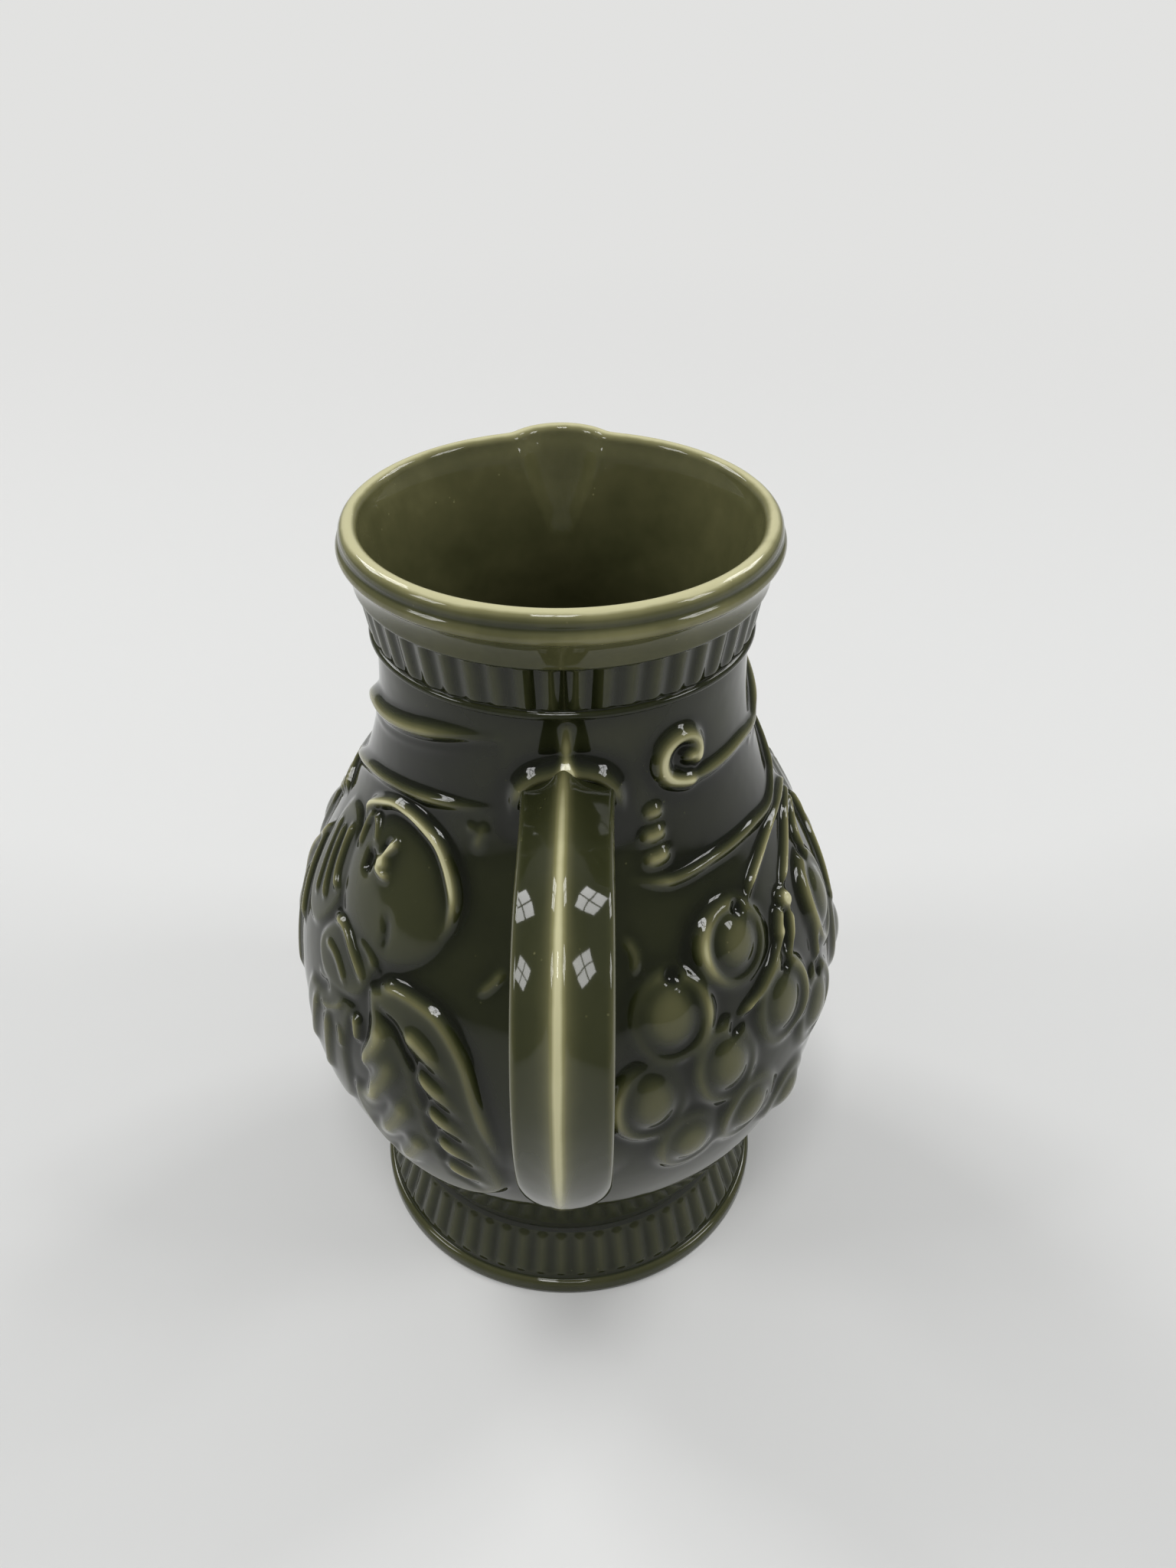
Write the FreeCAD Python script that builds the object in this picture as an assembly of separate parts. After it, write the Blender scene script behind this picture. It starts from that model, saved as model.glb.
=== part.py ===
"""Glazed earthenware jug with a ribbed foot, a keeled strap handle, a rolled rim with a small lip,
and moulded relief of ribbons, cherries, a round fruit and leaves. Millimetres, +Z up, with the
origin on the jug's axis at the table. The handle stands towards -Y and the lip towards +Y.
Azimuths are degrees from the handle, turning towards +X."""
import FreeCAD, Part
import math
import os

Vector = FreeCAD.Vector
os.makedirs("parts", exist_ok=True)

# Main sizes of the vessel
rim_height = 170.0
belly_r = 57.4
belly_z = 70.0
neck_r = 34.8
foot_height = 16.5
foot_top_r = 39.4
foot_r = 45.0
wall = 3.6
floor_thickness = 5.0
floor_round = 8.0
overrun = 4.0
full_turn_deg = 360.0
half_turn_deg = 180.0

# How steep the straight runs are against the chords, and the shoulder's part of the upper bends
bowl_slope_share = 1.43
shoulder_slope_share = 1.66
shoulder_bend_share = 0.45

# Rim and neck: heights of the bands, and how far each form stands out from the neck
rim_band_height = 11.0
tongue_band_height = 11.0
neck_collar_height = 4.0
core_step = 0.6
core_flare = 2.0
core_top_drop = 4.0
core_top_wall = 1.9
bore_bow = 0.65
crest_roll = 1.7
crest_flare = 2.9
outer_roll = 1.5
outer_roll_flare = 3.9
outer_roll_drop = 4.3
outer_roll_end_deg = 60.0
cove_flare = 3.1
cove_foot_rise = 1.0
cove_sag = 0.55

# Fluted band round the neck
tongue_count = 50
tongue_bulge = 1.0
tongue_toe_height = 2.2
bead_r = 0.8
band_low_flare = 0.4
band_top_flare = 2.0

# Foot ring
foot_flange_height = 3.4
foot_flange_round = 1.3
foot_flange_slope_height = 1.3
foot_flare = 3.6
foot_top_step = 0.4
foot_collar_height = 1.5
foot_tread = 5.5
foot_inner_top_r = 34.5
foot_rib_count = 60
foot_rib_bulge = 0.9
foot_rib_toe_height = 1.4

# Pouring lip
lip_r = 10.4
lip_reach = 4.2
lip_toe_r = 3.0
lip_toe_drop = 9.5
lip_wall = 0.4
lip_floor = 4.0

# Handle: the strap's two edges follow a line, a round shoulder, a wider back and a line
handle_width = 15.8
handle_keel = 4.3
handle_keel_offset = -0.6
handle_keel_half = 1.5
handle_keel_drop = 0.7
handle_flank_sag = 0.35
handle_edge = 2.4
handle_edge_round = 0.5
handle_inner_depth = 4.6
handle_drop = 9.5
handle_shoulder_r = 26.0
handle_reach = 87.0
handle_back_r = 45.0
handle_back_deg = 52.0
handle_flare_length = 7.5
handle_flare_share = 1.24
handle_flare_mid_share = 1.05
handle_root_depth = 4.5
handle_lean_deg = -1.7
handle_lean_y = 52.0

# Relief: heights over the belly and radii of the round forms
ribbon_panel = 0.8
ribbon_border = 1.5
ribbon_edge = 1.3
fold_r = 1.7
scroll_tube_r = 1.1
scroll_inner_r = 1.4
scroll_step = 1.5
scroll_half_turns = 3
cherry_r = 7.2
cherry_rise = 2.9
cherry_pit_r = 1.5
stem_r = 0.9
bud_r = 1.6
fruit_r = 15.0
fruit_rise = 3.6
fruit_ball_r = 28.0
fruit_pit_r = 2.6
fruit_stem_r = 1.3
calyx_r = 1.8
leaf_height = 1.5
vein_r = 0.6
leaf_fold_r = 1.8
spindle_sink = 0.3

# Places of the relief on the handle's side, as shares of the full turn and of the jug's height
ribbon_left_low_shares = ((-0.252, 0.690), (-0.150, 0.739), (-0.058, 0.760))
ribbon_left_high_shares = ((-0.252, 0.795), (-0.150, 0.816), (-0.058, 0.840))
ribbon_right_low_shares = ((0.050, 0.678), (0.150, 0.676), (0.242, 0.668))
ribbon_right_high_shares = ((0.056, 0.778), (0.150, 0.771), (0.242, 0.757))
fold_shares = (((0.054, 0.703), (0.080, 0.703)), ((0.054, 0.727), (0.080, 0.727)),
               ((0.054, 0.751), (0.080, 0.751)))
scroll_shares = (0.0965, 0.802)
cherry_shares = ((0.107, 0.588), (0.134, 0.494), (0.058, 0.542), (0.088, 0.462), (0.044, 0.449),
                 (0.106, 0.371), (0.200, 0.540), (0.168, 0.438), (0.063, 0.365), (0.250, 0.435),
                 (0.144, 0.330))
cherry_pit_shares = ((0.118, 0.613), (0.139, 0.524), (0.064, 0.572), (0.094, 0.492), (0.049, 0.479),
                     (0.111, 0.401), (0.206, 0.570), (0.174, 0.468), (0.069, 0.395), (0.256, 0.465),
                     (0.149, 0.360))
stem_shares = (((0.244, 0.646), (0.178, 0.656), (0.119, 0.614)),
               ((0.244, 0.646), (0.190, 0.620), (0.140, 0.526)),
               ((0.244, 0.646), (0.226, 0.612), (0.207, 0.572)),
               ((0.244, 0.646), (0.258, 0.570), (0.246, 0.490)))
bud_shares = (((0.159, 0.594), (0.146, 0.556)), ((0.182, 0.590), (0.170, 0.530)))
fruit_shares = (-0.131, 0.641)
fruit_pit_shares = (-0.145, 0.668)
fruit_stem_shares = ((-0.205, 0.678), (-0.180, 0.681), (-0.158, 0.668))
calyx_shares = (((-0.136, 0.688), (-0.141, 0.650)), ((-0.146, 0.650), (-0.120, 0.648)))
leaf_fold_shares = (((-0.205, 0.632), (-0.172, 0.574)), ((-0.205, 0.600), (-0.172, 0.544)),
                    ((-0.205, 0.568), (-0.178, 0.520)))
small_leaf_shares = ((-0.160, 0.545), (-0.144, 0.566), (-0.119, 0.572), (-0.128, 0.524),
                     (-0.160, 0.498), (-0.168, 0.524))
small_vein_shares = (((-0.124, 0.562), (-0.143, 0.535), (-0.160, 0.504)),)
large_leaf_shares = ((-0.112, 0.535), (-0.082, 0.556), (-0.053, 0.520), (-0.045, 0.420),
                     (-0.042, 0.320), (-0.068, 0.283), (-0.104, 0.292), (-0.124, 0.345),
                     (-0.112, 0.400), (-0.119, 0.440), (-0.104, 0.485), (-0.115, 0.510))
large_vein_shares = (((-0.097, 0.535), (-0.080, 0.420), (-0.062, 0.300)),
                     ((-0.085, 0.450), (-0.070, 0.480), (-0.057, 0.490)),
                     ((-0.079, 0.400), (-0.064, 0.428), (-0.053, 0.434)),
                     ((-0.083, 0.430), (-0.098, 0.446), (-0.113, 0.440)),
                     ((-0.076, 0.370), (-0.094, 0.384), (-0.110, 0.368)))


def at(point):
    """A profile's point (radius, height) in the XZ plane."""
    return Vector(point[0], 0, point[1])


def line(start, end):
    return Part.LineSegment(at(start), at(end)).toShape()


def arc(start, middle, end):
    return Part.Arc(at(start), at(middle), at(end)).toShape()


def turned(edges):
    """A solid turned about the jug's axis from the edges of a closed profile."""
    profile = Part.Face(Part.Wire(Part.sortEdges(edges)[0]))
    return profile.revolve(Vector(0, 0, 0), Vector(0, 0, 1), full_turn_deg)


def bends(width, height, slope_share):
    """Slope and summed bend radius of a curve that leaves upright, bends, and runs straight
    across a width and a height. The slope is a share, between 1 and 2, of the chord's."""
    slope = slope_share * math.atan2(width, height)
    radius = (height * math.sin(slope) - width * math.cos(slope)) / (1 - math.cos(slope))
    return slope, radius


# Heights and bends of the profile, from the foot up to the neck
rim_bottom_z = rim_height - rim_band_height
neck_ring_z = rim_bottom_z - tongue_band_height
neck_z = neck_ring_z - neck_collar_height
core_top_z = rim_height - core_top_drop
crest_centre_z = rim_height - crest_roll
outer_roll_z = rim_height - outer_roll_drop
floor_top_z = foot_height + floor_thickness
core_top_r = neck_r + core_flare
bore_top_r = core_top_r - core_top_wall
crest_centre_r = neck_r + crest_flare
outer_roll_r = neck_r + outer_roll_flare
cove_foot_r = neck_r + cove_flare
bowl_slope, bowl_bend_r = bends(belly_r - foot_top_r, belly_z - foot_height, bowl_slope_share)
shoulder_slope, upper_bends_r = bends(belly_r - neck_r, neck_z - belly_z, shoulder_slope_share)
shoulder_bend_r = shoulder_bend_share * upper_bends_r
neck_bend_r = upper_bends_r - shoulder_bend_r


def side_points(grow):
    """Points of the outer side from the foot to the neck, moved out square to it by grow."""

    def belly_point(radius, turn):
        reach = belly_r - radius + (radius + grow) * math.cos(turn)
        return (reach, belly_z + (radius + grow) * math.sin(turn))

    def neck_point(turn):
        reach = neck_r + neck_bend_r - (neck_bend_r - grow) * math.cos(turn)
        return (reach, neck_z - (neck_bend_r - grow) * math.sin(turn))

    out, up = grow * math.cos(bowl_slope), grow * math.sin(bowl_slope)
    points = [(foot_top_r + out, foot_height - up)]
    points += [belly_point(bowl_bend_r, -bowl_slope), belly_point(bowl_bend_r, -bowl_slope / 2)]
    points += [belly_point(bowl_bend_r, 0), belly_point(shoulder_bend_r, shoulder_slope / 2)]
    points += [belly_point(shoulder_bend_r, shoulder_slope), neck_point(shoulder_slope)]
    return points + [neck_point(shoulder_slope / 2), neck_point(0)]


def side_edges(points):
    """Straight, bowl bend, shoulder bend, straight and neck bend through the side's points."""
    edges = [line(points[0], points[1]), arc(*points[1:4]), arc(*points[3:6])]
    return edges + [line(points[5], points[6]), arc(*points[6:9])]


side = side_points(0)


def surface_r(z):
    """Outer radius at a height: straight runs by their slope, bends by Pythagoras."""
    if z < side[1][1]:
        return foot_top_r + (z - foot_height) * math.tan(bowl_slope)
    if z < side[5][1]:
        bend_r = bowl_bend_r if z < belly_z else shoulder_bend_r
        return belly_r - bend_r + math.sqrt(bend_r ** 2 - (z - belly_z) ** 2)
    if z < side[6][1]:
        return side[5][0] - (z - side[5][1]) * math.tan(shoulder_slope)
    if z < neck_z:
        return neck_r + neck_bend_r - math.sqrt(neck_bend_r ** 2 - (z - neck_z) ** 2)
    return neck_r


def outward(azimuth):
    angle = math.radians(azimuth)
    return Vector(math.sin(angle), -math.cos(angle), 0)


def on_surface(azimuth, z, rise=0.0):
    """The point of the belly at an azimuth and a height, raised outwards."""
    point = outward(azimuth) * (surface_r(z) + rise)
    point.z = z
    return point


def spot(shares):
    """An azimuth and a height from shares of the full turn and of the jug's height."""
    return (shares[0] * full_turn_deg, shares[1] * rim_height)


def spots(rows):
    return [spot(row) for row in rows]


def envelope(grow):
    """The filled form of belly and neck below the neck ring, grown outwards."""
    points = side_points(grow)
    low_z, top = points[0][1], (points[-1][0], neck_ring_z)
    edges = [line((0, low_z), points[0])] + side_edges(points) + [line(points[-1], top)]
    return turned(edges + [line(top, (0, neck_ring_z)), line((0, neck_ring_z), (0, low_z))])


body = envelope(0)


def core_r(z):
    """Outer radius of the upper wall that carries the bands."""
    low_r = neck_r - core_step
    share = (z - neck_ring_z) / (core_top_z - neck_ring_z)
    return low_r + share * (core_top_r - low_r)


def bore_edges():
    """Inner profile from the floor's centre, round its corner and up to the rim's inner edge."""
    points = side_points(-wall)
    corner_r = points[0][0] + (floor_top_z - points[0][1]) * math.tan(bowl_slope)
    half = (math.pi / 2 + bowl_slope) / 2
    along = floor_round / math.tan(half)
    inset = floor_round / math.sin(half) - floor_round
    floor_end = (corner_r - along, floor_top_z)
    middle = (corner_r - inset * math.cos(half), floor_top_z + inset * math.sin(half))
    points[0] = (corner_r + along * math.sin(bowl_slope), floor_top_z + along * math.cos(bowl_slope))
    neck_middle = ((points[-1][0] + bore_top_r) / 2 - bore_bow, (neck_z + core_top_z) / 2)
    edges = [line((0, floor_top_z), floor_end), arc(floor_end, middle, points[0])]
    return edges + side_edges(points) + [arc(points[-1], neck_middle, (bore_top_r, core_top_z))]


def make_jug_wall():
    """Belly, neck and upper wall as one open vessel with its floor."""
    shelf = (neck_r, neck_ring_z)
    core_low = (core_r(neck_ring_z), neck_ring_z)
    core_top = (core_top_r, core_top_z)
    edges = [line((0, foot_height), side[0])] + side_edges(side) + [line(side[-1], shelf)]
    edges += [line(shelf, core_low), line(core_low, core_top)]
    edges += [line(core_top, (bore_top_r, core_top_z))] + bore_edges()
    return turned(edges + [line((0, floor_top_z), (0, foot_height))])


def make_bore():
    """The hollow of the jug, run up past the rim."""
    inner = crest_centre_r - crest_roll
    high_z = rim_height + overrun
    edges = bore_edges() + [line((bore_top_r, core_top_z), (inner, crest_centre_z))]
    edges += [line((inner, crest_centre_z), (inner, high_z)), line((inner, high_z), (0, high_z))]
    return turned(edges + [line((0, high_z), (0, floor_top_z))])


def groove_point(inset):
    """Where the two rolls of the rim cross on their outer side."""
    dr = outer_roll_r - crest_centre_r
    dz = outer_roll_z - crest_centre_z
    gap = math.hypot(dr, dz)
    along = (crest_roll ** 2 - outer_roll ** 2 + gap ** 2) / (2 * gap)
    across = math.sqrt(crest_roll ** 2 - along ** 2)
    r = crest_centre_r + (along * dr - across * dz) / gap - inset
    return (r, crest_centre_z + (along * dz + across * dr) / gap)


def roll_edges(inset):
    """Outer side of the rim: crest roll, outer roll and the cove under them."""
    crest = (crest_centre_r - inset, rim_height)
    groove = groove_point(inset)
    groove_angle = math.atan2(groove[1] - crest_centre_z, groove[0] + inset - crest_centre_r)
    half = (groove_angle + math.pi / 2) / 2
    bulge_r = crest_centre_r + crest_roll * math.cos(half) - inset
    bulge = (bulge_r, crest_centre_z + crest_roll * math.sin(half))
    widest = (outer_roll_r + outer_roll - inset, outer_roll_z)
    end = math.radians(outer_roll_end_deg)
    roll_end_r = outer_roll_r + outer_roll * math.cos(end) - inset
    roll_end = (roll_end_r, outer_roll_z - outer_roll * math.sin(end))
    foot = (cove_foot_r - inset, rim_bottom_z + cove_foot_rise)
    middle = ((roll_end[0] + foot[0]) / 2 - cove_sag, (roll_end[1] + foot[1]) / 2)
    bottom = (cove_foot_r - inset, rim_bottom_z)
    edges = [arc(crest, bulge, groove), arc(groove, widest, roll_end)]
    return edges + [arc(roll_end, middle, foot), line(foot, bottom)]


def inner_roll(inset):
    """Inner quarter of the crest roll."""
    quarter = math.cos(math.pi / 4) * crest_roll
    start = (crest_centre_r - crest_roll - inset, crest_centre_z)
    middle = (crest_centre_r - quarter - inset, crest_centre_z + quarter)
    return arc(start, middle, (crest_centre_r - inset, rim_height))


def make_rim_band():
    """Double roll that caps the upper wall."""
    inner = (crest_centre_r - crest_roll, crest_centre_z)
    edges = [line((bore_top_r, core_top_z), inner), inner_roll(0)] + roll_edges(0)
    bottom = (core_r(rim_bottom_z), rim_bottom_z)
    edges += [line((cove_foot_r, rim_bottom_z), bottom), line(bottom, (core_top_r, core_top_z))]
    return turned(edges + [line((core_top_r, core_top_z), (bore_top_r, core_top_z))])


def scalloped(radius, z, bulge, count):
    """A closed outline of count round lobes that stand out by bulge from a circle."""
    def place(turn, reach):
        return Vector(reach * math.cos(turn), reach * math.sin(turn), z)

    step = 2 * math.pi / count
    lobes = []
    for index in range(count):
        ends = [place(step * (index + side), radius) for side in (0, 1)]
        lobes.append(Part.Arc(ends[0], place(step * (index + 0.5), radius + bulge), ends[1]).toShape())
    return Part.Wire(lobes)


def fluted(stations, count):
    """Upright lobes round a cone, through stations of radius, height and bulge."""
    wires = [scalloped(radius, z, bulge, count) for radius, z, bulge in stations]
    return Part.makeLoft(wires, True, True)


def make_neck_band():
    """Ring of upright tongues that rise out of the wall over a small bead."""
    low_r, top_r = neck_r + band_low_flare, neck_r + band_top_flare
    bead_top_z = neck_ring_z + 2 * bead_r
    toe_z = bead_top_z + tongue_toe_height
    toe_r = low_r + (top_r - low_r) * tongue_toe_height / (rim_bottom_z - bead_top_z)
    stations = ((low_r, bead_top_z, 0), (toe_r, toe_z, tongue_bulge), (top_r, rim_bottom_z, tongue_bulge))
    bead = [line((0, neck_ring_z), (low_r, neck_ring_z)), line((low_r, bead_top_z), (0, bead_top_z))]
    bead += [arc((low_r, neck_ring_z), (low_r + bead_r, neck_ring_z + bead_r), (low_r, bead_top_z))]
    bead += [line((0, bead_top_z), (0, neck_ring_z))]
    core_radii = (core_r(neck_ring_z), core_r(rim_bottom_z))
    core = Part.makeCone(*core_radii, tongue_band_height, Vector(0, 0, neck_ring_z))
    return turned(bead).fuse(fluted(stations, tongue_count)).removeSplitter().cut(core)


def make_foot():
    """Pedestal ring: a flat tread, a rounded flange and a ribbed flare up to the belly."""
    rib_low_z = foot_flange_height + foot_flange_slope_height
    rib_top_z = foot_height - foot_collar_height
    low_r, top_r = foot_top_r + foot_top_step + foot_flare, foot_top_r + foot_top_step
    slope = foot_flare / (rib_top_z - rib_low_z)
    toe = foot_rib_toe_height
    stations = ((low_r, rib_low_z, 0), (low_r - slope * toe, rib_low_z + toe, foot_rib_bulge),
                (top_r + slope * toe, rib_top_z - toe, foot_rib_bulge), (top_r, rib_top_z, 0))
    quarter = foot_flange_round * (1 - math.cos(math.pi / 4))
    flange = [line((0, 0), (foot_r, 0)), line((foot_r, 0), (foot_r, foot_flange_height - foot_flange_round))]
    flange += [arc((foot_r, foot_flange_height - foot_flange_round),
                   (foot_r - quarter, foot_flange_height - quarter),
                   (foot_r - foot_flange_round, foot_flange_height))]
    flange += [line((foot_r - foot_flange_round, foot_flange_height), (low_r, rib_low_z))]
    flange += [line((low_r, rib_low_z), (0, rib_low_z)), line((0, rib_low_z), (0, 0))]
    collar = Part.makeCone(top_r, foot_top_r, foot_collar_height, Vector(0, 0, rib_top_z))
    hollow = Part.makeCone(foot_r - foot_tread, foot_inner_top_r, foot_height)
    return turned(flange).multiFuse([fluted(stations, foot_rib_count), collar]).cut(hollow)


lip_inset = crest_centre_r - lip_r
lip_centre_y = lip_inset + lip_reach
lip_toe_z = rim_bottom_z - lip_toe_drop


def moved_to_lip(shape):
    shape.translate(Vector(0, lip_centre_y, 0))
    return shape


def toe_arc(radius, z):
    """Quarter round that closes a turned form on its own axis below a height."""
    turn = math.pi / 4
    middle = (radius * math.cos(turn), z - radius * math.sin(turn))
    return arc((0, z - radius), middle, (radius, z))


def lip_outer_edges():
    """Outer side of the lip, from its toe in the wall up to the crest."""
    cone_top = (cove_foot_r - lip_inset, rim_bottom_z)
    edges = [toe_arc(lip_toe_r, lip_toe_z), line((lip_toe_r, lip_toe_z), cone_top)]
    return edges + roll_edges(lip_inset)


def make_lip_block():
    """The lip filled in, for cutting its place out of the wall and the bands."""
    crest = (crest_centre_r - lip_inset, rim_height)
    edges = lip_outer_edges() + [line(crest, (0, rim_height))]
    return moved_to_lip(turned(edges + [line((0, rim_height), (0, lip_toe_z - lip_toe_r))]))


def make_pouring_lip():
    """Small beak pushed out of the rim, with a channel that starts in the neck's wall."""
    inner = (crest_centre_r - crest_roll - lip_inset, crest_centre_z)
    channel_r = lip_toe_r - lip_wall
    channel_z = lip_toe_z + lip_floor
    edges = lip_outer_edges() + [inner_roll(lip_inset), line(inner, (channel_r, channel_z))]
    edges += [toe_arc(channel_r, channel_z)]
    edges += [line((0, channel_z - channel_r), (0, lip_toe_z - lip_toe_r))]
    return moved_to_lip(turned(edges)).cut(bore)


def strap_section(origin, out, share):
    """The strap's outline: a blunt keel, two hollow flanks, thin edges and a full inner face."""
    half = handle_width / 2
    side_x = half - handle_edge_round
    keel = handle_keel_offset
    shoulder = handle_keel - handle_keel_drop
    right, left = keel + handle_keel_half, keel - handle_keel_half
    flank_z = (shoulder + handle_edge_round) / 2 - handle_flank_sag
    outline = [((left, shoulder), (keel, handle_keel), (right, shoulder)),
               ((right, shoulder), ((right + side_x) / 2, flank_z), (side_x, handle_edge_round)),
               ((side_x, handle_edge_round), (half, -handle_edge / 2), (side_x, -handle_edge)),
               ((side_x, -handle_edge), (0, -handle_inner_depth), (-side_x, -handle_edge)),
               ((-side_x, -handle_edge), (-half, -handle_edge / 2), (-side_x, handle_edge_round)),
               ((-side_x, handle_edge_round), ((left - side_x) / 2, flank_z), (left, shoulder))]
    across = Vector(1, 0, 0)

    def put(point):
        return origin + across * (point[0] * share) + out * (point[1] * share)

    return Part.Wire([Part.Arc(*[put(p) for p in points]).toShape() for points in outline])


def run_to_belly(start, direction):
    """How far a line in the handle's plane runs before it meets the belly, by halving."""
    low, high = 0.0, handle_reach
    for _ in range(40):
        middle = (low + high) / 2
        point = start + direction * middle
        if -point.y > surface_r(point.z):
            low = middle
        else:
            high = middle
    return low


def make_handle():
    """Keeled strap that leaves the neck level, turns down and comes back to the belly."""
    top = neck_z - handle_drop
    turn_y = handle_shoulder_r - handle_reach
    turn_z = top - handle_shoulder_r
    start = Vector(0, -(surface_r(top) + handle_flare_length), top)
    level_end = Vector(0, turn_y, top)
    eighth = handle_shoulder_r * math.sin(math.pi / 4)
    shoulder_middle = Vector(0, turn_y - eighth, turn_z + eighth)
    back = Vector(0, -handle_reach, turn_z)
    sweep = math.radians(handle_back_deg)

    def on_back(angle):
        drop = Vector(0, -math.cos(angle), -math.sin(angle)) * handle_back_r
        return Vector(0, handle_back_r - handle_reach, turn_z) + drop

    back_end = on_back(sweep)
    fall = Vector(0, math.sin(sweep), -math.cos(sweep))
    end = back_end + fall * (run_to_belly(back_end, fall) - handle_flare_length)
    path = [Part.LineSegment(start, level_end), Part.Arc(level_end, shoulder_middle, back)]
    path += [Part.Arc(back, on_back(sweep / 2), back_end), Part.LineSegment(back_end, end)]
    spine = Part.Wire([piece.toShape() for piece in path])
    up, inward = Vector(0, 0, 1), Vector(0, 1, 0)
    low_out = Vector(0, -math.cos(sweep), -math.sin(sweep))
    strap = spine.makePipeShell([strap_section(start, up, 1)], True, False)
    shares = (handle_flare_share, handle_flare_mid_share, 1)
    depths = (-handle_root_depth, handle_flare_length / 2, handle_flare_length)
    flares = []
    for seat, along, out in ((start, inward, up), (end, fall, low_out)):
        stations = [seat + along * (handle_flare_length - depth) for depth in depths]
        sections = [strap_section(station, out, share) for station, share in zip(stations, shares)]
        flares.append(Part.makeLoft(sections, True, False))
    handle = strap.multiFuse(flares)
    handle.rotate(Vector(0, -handle_lean_y, 0), Vector(0, 0, 1), handle_lean_deg)
    return handle.cut(body)


def flattened(places, out):
    """Places on the belly, projected along a direction onto a plane through the axis."""
    points = [on_surface(azimuth, z) for azimuth, z in places]
    return [point - out * point.dot(out) for point in points]


def prism(edges, out):
    """A straight prism that runs out through the belly's wall from a flat outline."""
    return Part.Face(Part.Wire(edges)).extrude(out * (belly_r + overrun))


def strip_prism(low, high):
    """A prism between two arcs, each through three places."""
    out = outward(low[1][0])
    chains = (flattened(low, out), flattened(high[::-1], out))
    edges = []
    for chain, other in (chains, chains[::-1]):
        edges += [Part.Arc(*chain).toShape(), Part.LineSegment(chain[-1], other[0]).toShape()]
    return prism(edges, out)


def revolved(profile, centre, axis, turn_deg=full_turn_deg):
    """A solid of revolution with its faces outward, whichever way its profile is drawn."""
    return Part.makeSolid(profile.revolve(centre, axis, turn_deg).Shells[0])


def ridge(places, radius, rise=0.0):
    """A round ridge along the arc through three places, less what lies in the wall."""
    points = [on_surface(*place, rise) for place in places]
    path = Part.Arc(*points).toShape()
    first, last = path.ParameterRange
    rim = Part.Circle(points[0], path.tangentAt(first), radius)
    disc = Part.Face(Part.Wire(rim.toShape()))
    return revolved(disc, path.Curve.Center, path.Curve.Axis, math.degrees(last - first))


def spindle(start, end, radius):
    """A short ridge that swells from one point to its radius and back to a point."""
    middle = (start + end) / 2
    out = Vector(middle.x, middle.y, 0).normalize()
    arch = Part.Arc(start, middle + out * radius, end).toShape()
    profile = Part.Face(Part.Wire([arch, Part.LineSegment(end, start).toShape()]))
    return revolved(profile, start, end - start)


def folds(rows, radius):
    """Spindles between pairs of places, their tips just under the belly's surface."""
    ends = [[on_surface(*place, -spindle_sink) for place in spots(row)] for row in rows]
    return [spindle(start, end, radius) for start, end in ends]


def make_ribbon(low, high):
    """A flat ribbon with a raised border along both edges; its face is bare."""
    low_in = [(azimuth, z + ribbon_edge) for azimuth, z in low]
    high_in = [(azimuth, z - ribbon_edge) for azimuth, z in high]
    sunk = strip_prism(low_in, high_in).cut(envelope(ribbon_panel))
    return strip_prism(low, high).common(envelope(ribbon_border)).cut(sunk).cut(body)


def make_scroll(azimuth, z):
    """The ribbon's curled end: half turns about two centres, each wider than the last."""
    centre, out, up = on_surface(azimuth, z), outward(azimuth), Vector(0, 0, 1)
    coil = []
    for index in range(scroll_half_turns):
        radius = scroll_inner_r + index * scroll_step
        shift = up * (scroll_step * (index % 2))
        side_of_start = up if index % 2 == 0 else up * -1
        start = centre + shift + side_of_start * radius
        disc = Part.Face(Part.Wire(Part.Circle(start, out.cross(up), scroll_tube_r).toShape()))
        coil.append(revolved(disc, centre + shift, out, half_turn_deg))
    return coil[0].multiFuse(coil[1:]).cut(body)


def make_cherry(place, pit_place):
    """A domed cherry with the small pit that its stem grows from."""
    azimuth, z = place
    ball_r = 1 / (2 * cherry_rise / cherry_r ** 2 + 1 / surface_r(z))
    ball = Part.makeSphere(ball_r, on_surface(azimuth, z, cherry_rise - ball_r))
    pit = Part.makeSphere(cherry_pit_r, on_surface(*pit_place, cherry_rise))
    return ball.cut(pit).cut(body)


def on_fruit(azimuth, z, rise=0.0):
    """The point of the fruit's ball over a place of the belly, raised outwards."""
    out = outward(azimuth)
    centre = on_surface(*spot(fruit_shares), fruit_rise - fruit_ball_r) - Vector(0, 0, z)
    along = centre.dot(out)
    reach = along + math.sqrt(fruit_ball_r ** 2 - centre.dot(centre) + along ** 2) + rise
    return out * reach + Vector(0, 0, z)


def make_fruit(place, pit_place):
    """A broad round fruit with a stem pit: a ball cut to a round outline on the belly."""
    azimuth, z = place
    ball = Part.makeSphere(fruit_ball_r, on_surface(azimuth, z, fruit_rise - fruit_ball_r))
    foot = on_surface(azimuth, z, -fruit_r)
    outline = Part.makeCylinder(fruit_r, fruit_r + fruit_rise + overrun, foot, outward(azimuth))
    pit = Part.makeSphere(fruit_pit_r, on_fruit(*pit_place))
    return outline.common(ball).cut(pit).cut(body)


def make_calyx(rows, carrier):
    """Dried petals of the fruit: spindles that lie on its ball."""
    ends = [[on_fruit(*place, -spindle_sink) for place in spots(row)] for row in rows]
    return Part.makeCompound([spindle(start, end, calyx_r).cut(carrier) for start, end in ends])


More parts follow.
